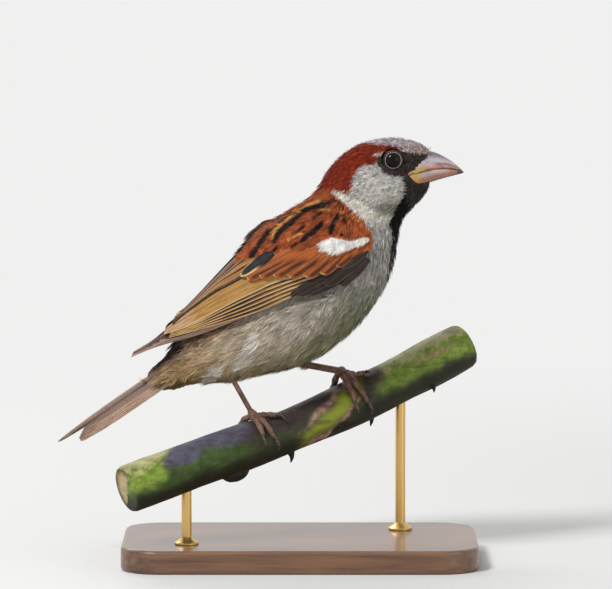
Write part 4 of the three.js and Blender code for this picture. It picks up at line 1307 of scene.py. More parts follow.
# Roots on the wing that point from one (along, wrap) place to another.
def wingRoots(side, places, targets, height, turnSpread, rng):
    places, targets = np.array(places, float), np.array(targets, float)
    point = wingPoint(side, places[:, 0], places[:, 1], height)
    normal = unit(wingPoint(side, places[:, 0], places[:, 1], height + 1) - point)
    ahead = places + (targets - places) * 0.1
    lie = squareTo(wingPoint(side, ahead[:, 0], ahead[:, 1], height) - point, normal)
    return {"point": point, "normal": normal, "lie": strayed(lie, normal, turnSpread, rng),
            "bed": surfaceTree(*wingBed(side, height)), "unwrapped": places}


# Places in rows that are offset by half a step and a little irregular.
def lattice(alongRange, wrapRange, counts, rng):
    shares = np.linspace(*alongRange, counts[0]), np.linspace(*wrapRange, counts[1])
    along, wrap = np.meshgrid(*shares, indexing="ij")
    along = along + (np.arange(counts[1]) % 2) * 0.5 * (alongRange[1] - alongRange[0]) / (counts[0] - 1)
    places = np.stack([along, wrap], axis=-1).reshape(-1, 2)
    return places + rng.normal(0, 1, places.shape) * (0.004, 0.008)


smallFeathers = featherKinds({
    "wingTop": (7, 1.9, 0.8, 50, 6, 0.085, 0.12),
    "shoulder": (5.6, 1.5, 0.5, 46, 5, 0.08, 0.12),
    "white": (4.6, 1.5, 0.55, 46, 5, 0.085, 0.07),
})
smallHeights = {"bed": 3.15, "wingTop": 2.7}
smallColours = {
    "shoulder": (166, 84, 46), "shoulderRim": (186, 110, 66), "plum": (110, 58, 50),
    "mantle": (142, 78, 52), "mantleRim": (170, 122, 92), "root": (92, 48, 32), "white": (238, 235, 229),
    "greater": (152, 78, 32),
}
scapularPatch = {
    "outline": [(9.5, 110), (11, 108.7), (12.7, 107.3), (15, 105.2), (17.3, 103.4), (19.4, 101.3),
                (20.2, 99.8), (20.4, 97.9), (17.7, 97.6), (14.8, 96.9), (9.1, 97.9), (6.2, 96.9),
                (4.3, 95.5), (0.6, 95.1), (-3.4, 94.6), (-8, 93.7), (-13.1, 92.5), (-17.7, 91.1),
                (-20, 89.6), (-21.2, 90.4), (-19.4, 92), (-16, 96.4), (-10.5, 101.4), (-3.5, 106.8),
                (3.5, 111.2)],
    "spacing": 1.1, "slopes": (34, 68), "turnsAt": (5, 15),
}
barRows = {
    "steps": 19, "lengths": (5.4, 3), "slopes": (42, 62), "above": 0.4, "front": 19.3,
    "lower": [(5.2, 93.6), (7.4, 92.6), (10.6, 93.1), (14.9, 94.4), (18.2, 95.4), (19.9, 96.8)],
    "middle": [(3.9, 95.3), (7.2, 95), (12.5, 95.6), (16.8, 96.4), (20, 97.6)],
    "under": [(4, 94.8), (7.5, 92.7), (10.6, 93.3), (15, 94.6), (18, 95.5), (20.5, 97.2)],
}
# Closed sheets under the small feathers and the vanes, so that no gap shows between them. The lower sheet is
# near-black, painted shade where it shows between the feathers and the body; the upper one is brown.
wingSlabsWithShade = [
    {"height": 0.1, "along": (0.03, 0.82), "wrap": (0.02, 0.9), "tone": (30, 25, 22)},
    {"height": 1.9, "along": (0, 0.34), "wrap": (-0.02, 0.62), "tone": (96, 56, 38)},
]
tint = asTones(smallColours)


def paintWingTop(spots, share, beside, rng):
    rim = smoothstep(np.abs(beside) + np.maximum(0, share - 0.75), 0.5, 1.0)
    tone = lerp(tint["mantle"], tint["mantleRim"], rim[..., None])
    flat = spots.reshape(-1, 3)
    return mantleTone(flat[:, 0], flat[:, 2], tone.reshape(-1, 3), rng).reshape(tone.shape)


def paintShoulder(spots, share, beside, rng):
    rim = smoothstep(np.abs(beside) + np.maximum(0, share - 0.8), 0.6, 1.05) * 0.6
    count, barbCount = share.shape[:2]
    dusky = (rng.random((count, 1, 1)) ** 2.5 * 0.9)[..., None]
    tone = lerp(lerp(tint["shoulder"], tint["plum"], dusky), tint["shoulderRim"], rim[..., None])
    tone = tone * rng.normal(1, 0.08, (count, barbCount, 1, 1))
    tone = lerp(tone, tint["root"], ((1 - smoothstep(share, 0.05, 0.5)) * 0.5)[..., None])
    flat = spots.reshape(-1, 3)
    high = smoothstep(flat[:, 2] - 0.62 * flat[:, 0], 104, 108)
    tone = layered(tone.reshape(-1, 3), (tint["mantle"], high * 0.6))
    return mantleTone(flat[:, 0], flat[:, 2], tone, rng).reshape(*share.shape, 3)


def paintWhite(spots, share, beside, rng):
    flat = spots.reshape(-1, 3) + rng.normal(0, 0.16, (spots.size // 3, 3))
    tone = plain(tint["shoulder"], flat)
    below = flat[:, 2] < np.interp(flat[:, 0], *zip(*barRows["under"]))
    tone[below] = tint["greater"]
    tone[inside(whiteBar, flat[:, 0], flat[:, 2])] = tint["white"]
    return tone.reshape(*share.shape, 3)


def slabVane(side, slab):
    share, column = np.meshgrid(np.linspace(0, 1, 30), np.linspace(-1, 1, 14), indexing="ij")
    along, (first, last) = lerp(*slab["along"], share), slab["wrap"]
    wrap = first + (last - first) * (1 - column) / 2
    sheet = wingPoint(side, along, wrap, slab["height"])
    outward = wingPoint(side, along, wrap, slab["height"] + 1) - sheet
    tones = np.ones((*share.shape, 1)) * np.array(slab["tone"], float)
    return vaneFrom(sheet, outward, share, column, np.full(share.shape, 8.0), 40, None, tones)


# The outermost surface under points of the side view: skin, or the wing's coverts.
def sideBed(side):
    points, quads = wingBed(side, smallHeights["bed"])
    faces = skinTriangles.tolist() + (quads + len(skinPoints)).tolist()
    return BVHTree.FromPolygons(np.vstack([skinPoints, points]).tolist(), faces)


# Roots whose feathers reach from one place of the side view to another.
def sideRoots(side, bed, starts, ends, length, turnSpread, rng):
    found = []
    for pair in zip(starts, ends):
        hits = [bed.ray_cast(Vector((x, side * 40, z)), Vector((0, -side, 0)))[:2] for x, z in pair]
        if all(spot is not None for spot, _ in hits):
            outward = [normal * math.copysign(1, normal.y * side) for _, normal in hits]
            found.append((hits[0][0], hits[1][0], outward[0] + outward[1]))
    first, last, normal = (np.array(column) for column in zip(*found))
    normal = unit(unit(normal) + np.array((0, side * 0.5, 0.15)))
    lie = last + normal * 0.35 - first
    reach = lengths(lie)
    lie = unit(lie)
    normal = squareTo(normal, lie)
    return {"point": first, "normal": normal, "lie": strayed(lie, normal, turnSpread, rng), "bed": bed,
            "unwrapped": np.column_stack(bodyPlace(first)[::-1]), "size": reach / length}


# Roots and tips of the shoulder's feathers. A root stays within the patch, so those near its edge are short.
def scapularPlaces(rng):
    patch = scapularPatch
    outline = np.array(patch["outline"])
    low, high = outline.min(axis=0), outline.max(axis=0)
    x, z = np.meshgrid(*(np.arange(low[k], high[k], patch["spacing"]) for k in (0, 1)))
    x = x + (np.arange(x.shape[0]) % 2)[:, None] * patch["spacing"] / 2
    ends = np.stack([x.ravel(), z.ravel()], axis=1) + rng.normal(0, 0.25, (x.size, 2))
    ends = ends[inside(patch["outline"], ends[:, 0], ends[:, 1])]
    slope = np.radians(lerp(*patch["slopes"], smoothstep(ends[:, 0], *patch["turnsAt"])))
    way = np.stack([np.cos(slope), np.sin(slope)], axis=1) * smallFeathers["shoulder"]["length"] * 0.92
    starts = ends + way * 0.3
    for share in (0.45, 0.6, 0.8, 1):
        further = ends + way * share
        x, z = further.T
        within = inside(patch["outline"], x + 0.2, z) | ((z > 108) & (x < 6))
        starts[within] = further[within]
    return starts, ends


def barPlaces(row, rng):
    share = np.linspace(0, 1, barRows["steps"])
    line = np.array(barRows[row])
    ends = np.column_stack([np.interp(share, np.linspace(0, 1, len(line)), column) for column in line.T])
    slope = np.radians(lerp(*barRows["slopes"], share))
    reach = lerp(*barRows["lengths"], share) * (1 if row == "lower" else 0.85)
    starts = ends + np.stack([np.cos(slope), np.sin(slope)], axis=1) * reach[:, None]
    starts[:, 0] = np.minimum(starts[:, 0], barRows["front"])
    return starts, ends + rng.normal(0, 0.15, ends.shape)


def dressWing(name, side):
    rng = np.random.default_rng(21 + side)
    joinVanes(f"wing_bed_and_painted_shade_{name}", [slabVane(side, slab) for slab in wingSlabsWithShade], vanes)
    places = lattice((-0.01, 0.33), (-0.12, 0.14), (13, 5), rng)
    tract = smallFeathers["wingTop"]
    roots = wingRoots(side, places, places + (0.1, 0.05), smallHeights["wingTop"], tract["turn"], rng)
    mesh = growTufts(f"wing_top_{name}", roots, tract, paintWingTop, rng)
    settleMesh(f"wing_top_{name}", mesh, barbs)
    bed = sideBed(side)
    for kind, places, paintBarbs, slot in (
        ("shoulder", [scapularPlaces(rng)], paintShoulder, "plumage_brown"),
        ("white", [barPlaces("lower", rng), barPlaces("middle", rng)], paintWhite, "plumage_grey"),
    ):
        tract = smallFeathers[kind]
        starts, ends = (np.vstack(column) for column in zip(*places))
        roots = sideRoots(side, bed, starts, ends, tract["length"], tract["turn"], rng)
        if kind == "white":
            roots["point"] = roots["point"] + roots["normal"] * barRows["above"]
        mesh = growTufts(f"{kind}_feathers_{name}", roots, tract, paintBarbs, rng)
        settleMesh(f"{kind}_feathers_{name}", mesh, barbs)


for sideName, sideSign in sides.items():
    dressWing(sideName, sideSign)
print("wings are dressed")

# Bill: two horny halves that reach back along the face to the gape

bill = {
    "root": (32.4, 115.4), "crest": (39.5, 118.6), "tip": (48.8, 116.3), "above": 5.7, "below": 3.9,
    "half": 4.3, "face": 38.6, "cone": 1.25, "bluntness": 0.8, "ridge": 0.25, "gap": 0.1, "flange": 0.22,
    "deepAt": (38, 44, 48.8), "deep": {"upper": (5.6, 3.9, 0.8), "lower": (3.6, 2.4, 0.4)},
}
gapeLine = [
    (30, 115.5), (31.8, 116), (35.2, 116.6), (37.1, 117.05), (39.9, 117.5), (43.2, 117.65), (45.9, 117.4),
    (48.2, 117), (52, 116.2),
]


def billForm(upper):
    head = nodeTree("head")
    faceShare = (bill["face"] - bill["root"][0]) / (bill["tip"][0] - bill["root"][0])
    root, crest, tip = (np.array(bill[key]) for key in ("root", "crest", "tip"))

    def place(share, angle):
        share = -0.08 + 1.08 * share
        centre = root * (1 - share) ** 2 + crest * 2 * share * (1 - share) + tip * share**2
        bare = min(1, max(0, (share - faceShare) / (1 - faceShare)))
        size = (1 - bare ** bill["cone"]) ** bill["bluntness"] * quarter((share + 0.08) / 0.12)
        deep = bill["above"] if math.cos(angle) > 0 else bill["below"]
        ridged = 1 - bill["ridge"] * max(0, math.cos(angle)) * math.sin(angle) ** 2
        x, z = centre[0], centre[1] + deep * size * math.cos(angle)
        return x, bill["half"] * size * ridged * math.sin(angle), z

    form = blob(72, 56, place)
    for vert in form.verts:
        x, y, z = vert.co
        mouth = np.interp(x, *zip(*gapeLine))
        z = max(z, mouth) if upper else min(z, mouth - bill["gap"])
        if x < 39.5 and abs(y) > 0.4 and inside(billSide, np.array([x]), np.array([z]))[0]:
            hand = math.copysign(1, y)
            hit = head.ray_cast(Vector((x, 30 * hand, z)), Vector((0, -hand, 0)))[0]
            if hit:
                flange = (abs(hit.y) + bill["flange"]) * min(1, abs(y) / 2.6)
                y = math.copysign(max(abs(y), lerp(flange, abs(y), float(smoothstep(x, 37.0, 39.4)))), y)
        vert.co = (x, y, z)
    return creased(form, 0.9)


billColours = {
    "culmen": (108, 98, 108), "side": (196, 180, 188), "band": (116, 84, 88), "mouth": (176, 104, 64),
    "tip": (190, 180, 146), "gape": (198, 158, 62), "lower": (194, 172, 172), "keel": (166, 106, 72),
    "under": (44, 32, 28), "slit": (70, 40, 28),
}


def billTone(points, half):
    x, y, z = points.T
    tone = asTones(billColours)
    gap = np.abs(z - np.interp(x, *zip(*gapeLine)))
    share = np.clip(gap / np.interp(x, bill["deepAt"], bill["deep"][half]), 0, 1)
    if half == "upper":
        band = (1 - smoothstep(np.abs(share - 0.3), 0.04, 0.14)) * smoothstep(x, 38, 41)
        # The dark grey-violet top is partly a painted reflection of dark surroundings, and the pale lilac
        # side partly a painted highlight.
        made = layered(plain(tone["side"], x), (tone["culmen"], smoothstep(share, 0.5, 0.95)),
                       (tone["band"], band * 0.8),
                       (tone["mouth"], 1 - smoothstep(share, 0.12, 0.22)),
                       (tone["gape"], (1 - smoothstep(x, 36.4, 38.2)) * (1 - smoothstep(gap, 0.9, 2.0))),
                       (tone["tip"], smoothstep(x, 46.2, 48.2)))
    else:
        made = layered(plain(tone["lower"], x), (tone["keel"], smoothstep(share, 0.3, 0.75)),
                       (tone["keel"], smoothstep(x, 42.5, 46) * 0.8),
                       (tone["gape"], 1 - smoothstep(x + 0.5 * gap, 35.2, 37.4)),
                       (tone["under"], smoothstep(x, 45.6, 47.6) * 0.9),
                       (tone["under"], smoothstep(share, 0.88, 1.0) * 0.5))
    return layered(made, (tone["slit"], (1 - smoothstep(gap, 0.1, 0.32)) * 0.8))


def hornFinish():
    finish = Finish("horn", {"Specular IOR Level": 0.5, "Coat Roughness": 0.25})
    tone = finish.painted("tone")
    place = finish.place()
    lines = finish.noise(finish.stretched(place, (300, 1400, 1400), (0, 0.25, 0)), 1, 3, 0.6)
    cloudy = finish.noise(place, 700, 3)
    worn = finish.blend(lines.above(0.42, 0.72) * 0.35, tone, (0.25, 0.2, 0.19, 1))
    finish.look(finish.blend(cloudy.above(0.5, 0.75) * 0.2, worn, (0.72, 0.62, 0.55, 1)),
                0.3 + lines * 0.22)
    finish.bump(lines + cloudy * 0.4, 0.2, 0.00012)
    return finish


horn = hornFinish()
for half in ("upper", "lower"):
    billPiece = settle(f"bill_{half}_horn", billForm(half == "upper"), horn, [f"bill_{half}"])
    setColours(billPiece.data, "tone", billTone(meshArrays(billPiece.data)[0], half))
print("bill is made")

# Eyes, each with a beaded rim of bare skin

eyeShape = {"radius": 3.0, "lean": 0.06, "rim": 2.38, "beads": 21, "pupil": (0.74, 0.82), "ring": (150, 10)}
eyeColours = {"iris": (40, 25, 18), "pupil": (5, 5, 6)}
# Rings of bare skin: how far outside the rim, half thickness, how far off the ball, bead depth and colour.
eyeRings = {
    "rim": (0, 0.09, 0.16, 0.5, (172, 156, 148)), "lid": (0.3, 0.26, -0.2, 0, (46, 40, 38)),
    "fold": (-0.24, 0.09, 0.08, 0, (30, 25, 24)),
}


def eyeFinish():
    finish = Finish("eye", {"Roughness": 0.06, "Specular IOR Level": 0.16})
    spot = finish.painted("tone")
    rays = finish.noise(finish.place(), 2200, 3).above(0.4, 0.7)
    finish.look(finish.blend(rays * 0.3, spot, (0.012, 0.006, 0.004, 1)))
    return finish


def lidFinish():
    finish = Finish("bare skin", {"Roughness": 0.6, "Specular IOR Level": 0.3})
    tone = finish.painted("tone")
    grain = finish.noise(finish.place(), 3000, 3)
    finish.look(finish.blend(grain.above(0.45, 0.75) * 0.35, tone, (0.2, 0.17, 0.15, 1)))
    finish.bump(grain, 0.3, 0.0001)
    return finish


# A closed ring round an axis, whose half thickness is half(angle).
def ringForm(centre, axis, reach, half):
    around, across = eyeShape["ring"]
    form = bmesh.new()
    start = bmesh.ops.create_circle(form, cap_ends=False, segments=across, radius=1)["verts"]
    for vert in start:
        vert.co = (1 + 0.1 * vert.co.x, 0, 0.1 * vert.co.y)
    spun(form, start + list(form.edges), around, 1e-4)
    turn = Vector(axis).normalized().to_track_quat("Z", "X")
    for vert in form.verts:
        angle = math.atan2(vert.co.y, vert.co.x)
        aside, up = (math.hypot(vert.co.x, vert.co.y) - 1) * 10, vert.co.z * 10
        spot = Vector((math.cos(angle), math.sin(angle), 0)) * (reach + half(angle) * aside)
        vert.co = Vector(centre) + turn @ (spot + Vector((0, 0, up * half(angle))))
    return facedOut(form)


def makeEye(name, side, middle, gloss, bareSkin):
    form = bmesh.new()
    bmesh.ops.create_uvsphere(form, u_segments=48, v_segments=28, radius=eyeShape["radius"])
    axis = Vector((eyeShape["lean"], side, 0)).normalized()
    turned = axis.to_track_quat("Z", "X").to_matrix()
    bmesh.ops.rotate(form, verts=form.verts, cent=(0, 0, 0), matrix=turned)
    bmesh.ops.translate(form, verts=form.verts, vec=middle.tolist())
    ball = settle(f"eye_{name}_ball", form, gloss, [f"eye_{name}"])
    outward = (meshArrays(ball.data)[0] - middle) @ np.array(axis) / eyeShape["radius"]
    tone = asTones(eyeColours)
    pupil = smoothstep(outward, *eyeShape["pupil"])
    setColours(ball.data, "tone", layered(plain(tone["iris"], outward), (tone["pupil"], pupil)))
    forward = math.sqrt(eyeShape["radius"] ** 2 - eyeShape["rim"] ** 2)
    for part, (further, half, lift, bead, colour) in eyeRings.items():
        def beaded(angle):
            return half * (1 + bead * math.sin(eyeShape["beads"] * angle))

        ring = ringForm(middle + np.array(axis) * (forward + lift), axis, eyeShape["rim"] + further, beaded)
        piece = settle(f"eye_{part}_{name}", ring, bareSkin)
        setColours(piece.data, "tone", plain(colour, piece.data.vertices))


eyeGloss, lidSkin = eyeFinish(), lidFinish()
for (sideName, sideSign), middle in zip(sides.items(), eyeCentres):
    makeEye(sideName, sideSign, middle, eyeGloss, lidSkin)
print("eyes are set")

# Perch: a cut length of stem that slopes up to the right and away

perch = {
    "radius": 6.85, "around": 56, "along": 120, "relief": 0.16, "rings": (0.9, 0.55, 0.22), "chamfer": 0.35,
}
perchLine = [
    (-51, -25.5, 24.4), (-27, -13.5, 32), (-9, -4.5, 37.2), (6, 3, 42.5), (18, 9, 47.3), (30, 15, 52.7),
    (50, 25, 62.2),
]
perchPath = alongCurve(perchLine, np.linspace(0, 1, 1200))
perchReach = np.concatenate([[0], np.cumsum(lengths(np.diff(perchPath, axis=0)))])


def perchSpot(share):
    reach = share * perchReach[-1]
    return np.stack([np.interp(reach, perchReach, column) for column in perchPath.T], axis=-1)


def perchWay(share):
    return unit(perchSpot(np.minimum(1, share + 0.004)) - perchSpot(np.maximum(0, share - 0.004)))


def overPerch(share, turn, height, along=0.0):
    share = np.clip(share + along / perchReach[-1], 0, 1)
    way = perchWay(share)
    up = np.array((0, 0, 1.0))
    up = unit(up - way * way[..., 2:])
    front = np.cross(way, up)
    out = np.asarray(perch["radius"] + height)[..., None]
    turn = np.asarray(turn)[..., None]
    return perchSpot(share) + out * (up * np.cos(turn) + front * np.sin(turn))


def perchForm():
    form = bmesh.new()
    bmesh.ops.create_cone(form, cap_ends=True, segments=perch["around"], radius1=1, radius2=1, depth=1)
    for i in range(1, perch["along"]):
        share = i / perch["along"]
        bmesh.ops.bisect_plane(form, geom=form.verts[:] + form.edges[:] + form.faces[:], dist=1e-6,
                               plane_co=(0, 0, share - 0.5), plane_no=(0, 0, 1))
    caps = [face for face in form.faces if len(face.verts) > 4]
    for before, ring in zip((1, *perch["rings"]), perch["rings"]):
        bmesh.ops.inset_region(form, faces=caps, thickness=before - ring, use_even_offset=False)
    for vert in form.verts:
        share, turn = vert.co.z + 0.5, math.atan2(vert.co.y, vert.co.x)
        reach = math.hypot(vert.co.x, vert.co.y)
        swell = 0.25 * math.sin(9.5 * share) + 0.2 * math.sin(21 * share + 1)
        skin = Vector((share * 9, math.cos(turn) * 2.2, math.sin(turn) * 2.2))
        relief = noise.noise(skin) + 0.5 * noise.noise(skin * 3.1)
        grown = (swell + perch["relief"] * relief) if reach > 0.99 else 0
        if reach > 0.99 and (share < 1e-4 or share > 1 - 1e-4):
            grown -= perch["chamfer"]
        dish = 0.12 * noise.noise(Vector((vert.co.x * 3, vert.co.y * 3, share))) if reach < 0.99 else 0
        spot = overPerch(share, turn, (reach - 1) * perch["radius"] + grown, dish)
        vert.co = spot.tolist()
    return facedOut(form)


def addForm(target, added):
    mesh = bpy.data.meshes.new("added")
    added.to_mesh(mesh)
    added.free()
    target.from_mesh(mesh)
    bpy.data.meshes.remove(mesh)


# A round limb along a line of points, with radius(share, angle).
def limbForm(line, radius, along, around, up=(0, 0, 1), ends=(0.1, 0.1)):
    line = np.array(line, float)

    def place(share, angle):
        centre = alongCurve(line, share)[0]
        way = alongCurve(line, min(1, share + 0.01))[0] - alongCurve(line, max(0, share - 0.01))[0]
        way = Vector(way).normalized()
        over = (Vector(up) - way * way.dot(Vector(up))).normalized()
        reach = radius(share, angle) * roundEnds(share, *ends)
        return Vector(centre) + (over * math.cos(angle) + way.cross(over) * math.sin(angle)) * reach

    return blob(along, around, place)


leafScar = {"at": 0.29, "turn": 2.9, "radius": 3.1, "sunk": 0.9, "stretch": 1.5}
prickle = {"root": 1.1, "point": 0.12, "height": 2.4, "hook": -1.2, "sunk": 0.8}
prickles = [(0.1, 4.2), (0.45, 3.0), (0.69, 3.2), (0.86, 2.4)]


def growthsForm():
    scar = leafScar
    inner = perchSpot(scar["at"])
    centre = overPerch(scar["at"], scar["turn"], -scar["sunk"])
    out = unit(centre - inner)
    way = perchWay(scar["at"])
    side = np.cross(way, out)

    def place(share, angle):
        reach = scar["radius"] * math.sin(math.pi * share)
        rough = 1 + 0.06 * noise.noise(Vector((share * 6, math.cos(angle) * 2, math.sin(angle) * 2)))
        spot = centre + out * scar["radius"] * math.cos(math.pi * share) * rough
        return spot + way * (scar["stretch"] * reach * math.cos(angle)) + side * (reach * math.sin(angle))

    form = blob(28, 36, place)

    def thorn(share, angle):
        return prickle["root"] * (1 - share) + prickle["point"]

    for at, turn in prickles:
        line = [overPerch(at, turn, -prickle["sunk"]), overPerch(at, turn, 0.9, -0.25),
                overPerch(at, turn, prickle["height"], prickle["hook"])]
        addForm(form, limbForm(line, thorn, 12, 14))
    return form


def barkFinish():
    finish = Finish("bark", {"Specular IOR Level": 0.2})
    tone = finish.painted("tone")
    place = finish.place()
    fissures = finish.noise(finish.stretched(place, (90, 160, 420), (0, 0.35, 0.4)), 1, 4, 0.6)
    specks = finish.noise(place, 900, 2)
    patches = finish.noise(place, 160, 3)
    darker = finish.blend(fissures.above(0.45, 0.7) * 0.5, tone, (0.035, 0.025, 0.022, 1))
    mossy = finish.blend(patches.above(0.5, 0.7) * 0.45, darker, (0.55, 0.6, 0.4, 1), "MULTIPLY")
    finish.look(finish.blend(specks.above(0.64, 0.72) * 0.5, mossy, (0.08, 0.07, 0.05, 1)),
                0.45 + fissures * 0.3)
    finish.bump(fissures * 0.8 + specks * 0.5 + patches * 0.4, 0.4, 0.0004)
    return finish


stemColours = {
    "front": (62, 84, 38), "bloomAndShadow": (86, 82, 98), "brown": (58, 48, 46), "under": (38, 38, 24),
    "sunlitPatch": (140, 148, 48), "lit": (124, 146, 58), "pale": (192, 178, 142), "cork": (178, 138, 122),
    "cut": (196, 174, 128), "pith": (222, 206, 164), "rim": (92, 78, 52),
}
corkStrips = ((0.36, 0.17), (-0.72, 0.12))  # heights and widths, in radii


def stemTone(points):
    tone = asTones(stemColours)
    x, y, z = points.T
    share = np.interp(x, perchPath[:, 0], perchReach) / perchReach[-1]
    centre = perchSpot(share)
    away = points - centre
    reach = lengths(away)
    height = away[:, 2] / perch["radius"]
    wobble = np.array([noise.noise(Vector((a * 0.12, b * 0.2, c * 0.2))) for a, b, c in points])
    ripple = np.array([noise.noise(Vector((a * 0.4, b * 0.9, c * 0.9))) for a, b, c in points])
    mottled = 1 + 0.3 * ripple[:, None]
    # Under the bird the stem is painted in its shadow: the top a purple-grey bloom that is partly painted
    # shadow, brown-black further right, and the front browner.
    middle = smoothstep(x + 4 * wobble, -20, -10)
    upper = layered(plain(tone["bloomAndShadow"], x), (tone["brown"], middle)) * mottled
    # Both ends are painted as sunlit: brighter yellow-green, with a pale top edge that is partly a painted
    # highlight.
    ends = np.maximum(1 - smoothstep(x + 3 * wobble, -40.5, -37.5), smoothstep(x + 3 * wobble, 22, 27))
    # A patch of painted sunlight runs along the near side under the bird, beside strips of cork.
    stripe = height - (x - 7) * 0.09 + wobble * 0.4
    here = smoothstep(x, -2, 3) * (1 - smoothstep(x, 17, 20)) * (y < centre[:, 1])
    # The underside is painted dark as shade.
    made = layered(plain(tone["front"], x) * (1 + 0.35 * ripple[:, None]),
                   (tone["brown"], middle * 0.5),
                   (upper, smoothstep(height + wobble * 0.5, 0.2, 0.6)),
                   (tone["lit"] * mottled, ends * smoothstep(height + 0.3 * wobble, -0.6, 0.1)),
                   (tone["pale"], ends * smoothstep(height + 0.5 * ripple, 0.6, 0.85) * 0.75),
                   (tone["under"], smoothstep(-height - wobble * 0.3, 0.15, 0.7)),
                   (tone["sunlitPatch"], np.exp(-(((stripe + 0.22) / 0.42) ** 4)) * here))
    for at, width in corkStrips:
        corky = np.exp(-(((stripe - at) / width) ** 2)) * here * (0.6 + 0.8 * smoothstep(ripple, -0.2, 0.3))
        made = layered(made, (tone["cork"], np.clip(corky, 0, 1)))
    streaks = np.exp(-(((height - 0.42 + 0.3 * ripple) / 0.1) ** 2))
    made = layered(made, (tone["cork"], streaks * smoothstep(x, 33, 37) * (1 - smoothstep(x, 44, 48))))
    cutFace = ((share < 0.0015) | (share > 0.9985)) & (reach < perch["radius"] - 0.4)
    rings = 0.5 + 0.5 * np.sin(reach * 7)
    cut = layered(plain(tone["cut"], x), (tone["rim"], smoothstep(reach, 5.0, 6.4) * 0.8),
                  (tone["pith"], 1 - smoothstep(reach, 1.0, 2.2)))
    made[cutFace] = (cut * (0.94 + 0.06 * rings[:, None]))[cutFace]
    return made


bark = barkFinish()
stem = perchForm()
addForm(stem, growthsForm())
perchPiece = settle("perch_stem", stem, bark, ["perch"])
setColours(perchPiece.data, "tone", stemTone(meshArrays(perchPiece.data)[0]))
print("perch is cut")

# Legs: bare shanks, gripping toes with scutes above and pads below, and claws

# Each toe has its turns round the stem and places along it, at root and tip, and how far its claw reaches.
legs = {
    "right": {"hidden": 0.9, "thick": 0.84, "stands": 0.378, "lift": 0,
              "toes": [((-0.1, -1.25), (-0.6, -3), 0.55), ((0.1, 0.5), (0.8, 6.4), 0.34),
                       ((0.12, 1.4), (0.3, 1.8), 0.48), ((0.1, 1.15), (-0.6, -1.4), 0.48)]},
    "left": {"hidden": 2.4, "thick": 1.14, "stands": 0.652, "lift": 2,
             "toes": [((-0.1, -1.25), (-0.6, -2.6), 0.55), ((0.1, 1.3), (-0.8, -2.2), 0.48),
                      ((0.12, 1.55), (0.4, 1.5), 0.48), ((0.05, 0.25), (0.8, 6.6), 0.3)]},
}
shank = {
    "radius": 0.9, "heel": 1.15, "foot": 1.5, "heelShare": 0.14, "footShare": 0.16, "scutes": 9,
    "ridge": 0.07,
}
toe = {
    "root": 1.05, "tip": 0.78, "pads": 3, "swell": 0.1, "settles": 0.45, "gap": 0.12, "scutes": 11,
    "ridge": 0.055,
}
claw = {
    "radius": 0.6, "point": 0.06, "arch": 0.75, "sink": 0.52, "start": (0.06, 0.3), "drift": 0.12,
    "gap": 0.3,
}


def scuted(share, count, ridge):
    return 1 + ridge * (1 - (2 * ((share * count) % 1) - 1) ** 4) - ridge / 2


def footPoint(leg):
    return overPerch(leg["stands"], 0.0, shank["foot"] + toe["gap"] + leg["lift"])


def shankForm(leg, heel):
    foot = footPoint(leg)
    start = heel - unit(foot - heel) * leg["hidden"]

    def radius(share, angle):
        joint = shank["heel"] * math.exp(-((share / shank["heelShare"]) ** 2))
        ball = shank["foot"] * math.exp(-(((1 - share) / shank["footShare"]) ** 2))
        front = max(0, math.cos(angle))
        reach = max(shank["radius"] * leg["thick"], joint * leg["thick"] + ball)
        return reach * lerp(1, scuted(share, shank["scutes"], shank["ridge"]), front)

    return limbForm([start, foot], radius, 60, 20, up=(1, 0, 0.3), ends=(0.12, 0.1))


def toeLine(leg, turns, alongs):
    line = []
    for share in (0, 0.25, 0.5, 0.75, 1):
        settling = leg["lift"] * max(0, 1 - share / toe["settles"])
        height = toe["gap"] + lerp(toe["root"], toe["tip"], share) + settling
        line.append(overPerch(leg["stands"], lerp(*turns, share), height, lerp(*alongs, share)))
    return line


def toeForm(leg, turns, alongs):
    line = toeLine(leg, turns, alongs)
    out = unit(line[2] - perchSpot(leg["stands"]))

    def radius(share, angle):
        pads = 1 + toe["swell"] * math.cos(2 * math.pi * toe["pads"] * share)
        above = max(0, math.cos(angle))
        scutes = lerp(1, scuted(share, toe["scutes"], toe["ridge"]), above)
        return lerp(toe["root"], toe["tip"], share) * pads * scutes

    return limbForm(line, radius, 44, 16, up=out.tolist(), ends=(0.12, 0.14))


def clawForm(leg, turns, alongs, reach):
    way, drift = math.copysign(1, turns[1]), alongs[1] - alongs[0]
    line = []
    for share in (-0.25, 0, 1 / 3, 2 / 3, 1):
        arch = claw["arch"] * math.sin(math.pi * max(0, share))
        height = claw["gap"] + toe["tip"] + arch - claw["sink"] * share
        turn = turns[1] + way * (claw["start"][0] + reach * share)
        along = alongs[1] + math.copysign(claw["start"][1], drift) + claw["drift"] * drift * share
        line.append(overPerch(leg["stands"], turn, height, along))
    return limbForm(line, lambda share, angle: claw["radius"] * (1 - share) ** 0.8 + claw["point"], 22, 12,
                    ends=(0.1, 0.03))


def scaledFinish():
    finish = Finish("scaled skin", {"Specular IOR Level": 0.4})
    place = finish.place()
    values = {"Vector": place, "Scale": 1500}
    cells = finish.node("ShaderNodeTexVoronoi", {"feature": "DISTANCE_TO_EDGE"}, values)
    seams = 1 - cells.above(0.02, 0.14)
    patchy = finish.noise(place, 260, 3)
    warm = finish.blend(patchy.above(0.35, 0.65), paint(96, 66, 50), paint(136, 102, 86))
    finish.look(finish.blend(seams * 0.55, warm, paint(62, 42, 36)), 0.42 + patchy * 0.2)
    finish.bump(cells.above(0.0, 0.2), 0.35, 0.00018)
    return finish


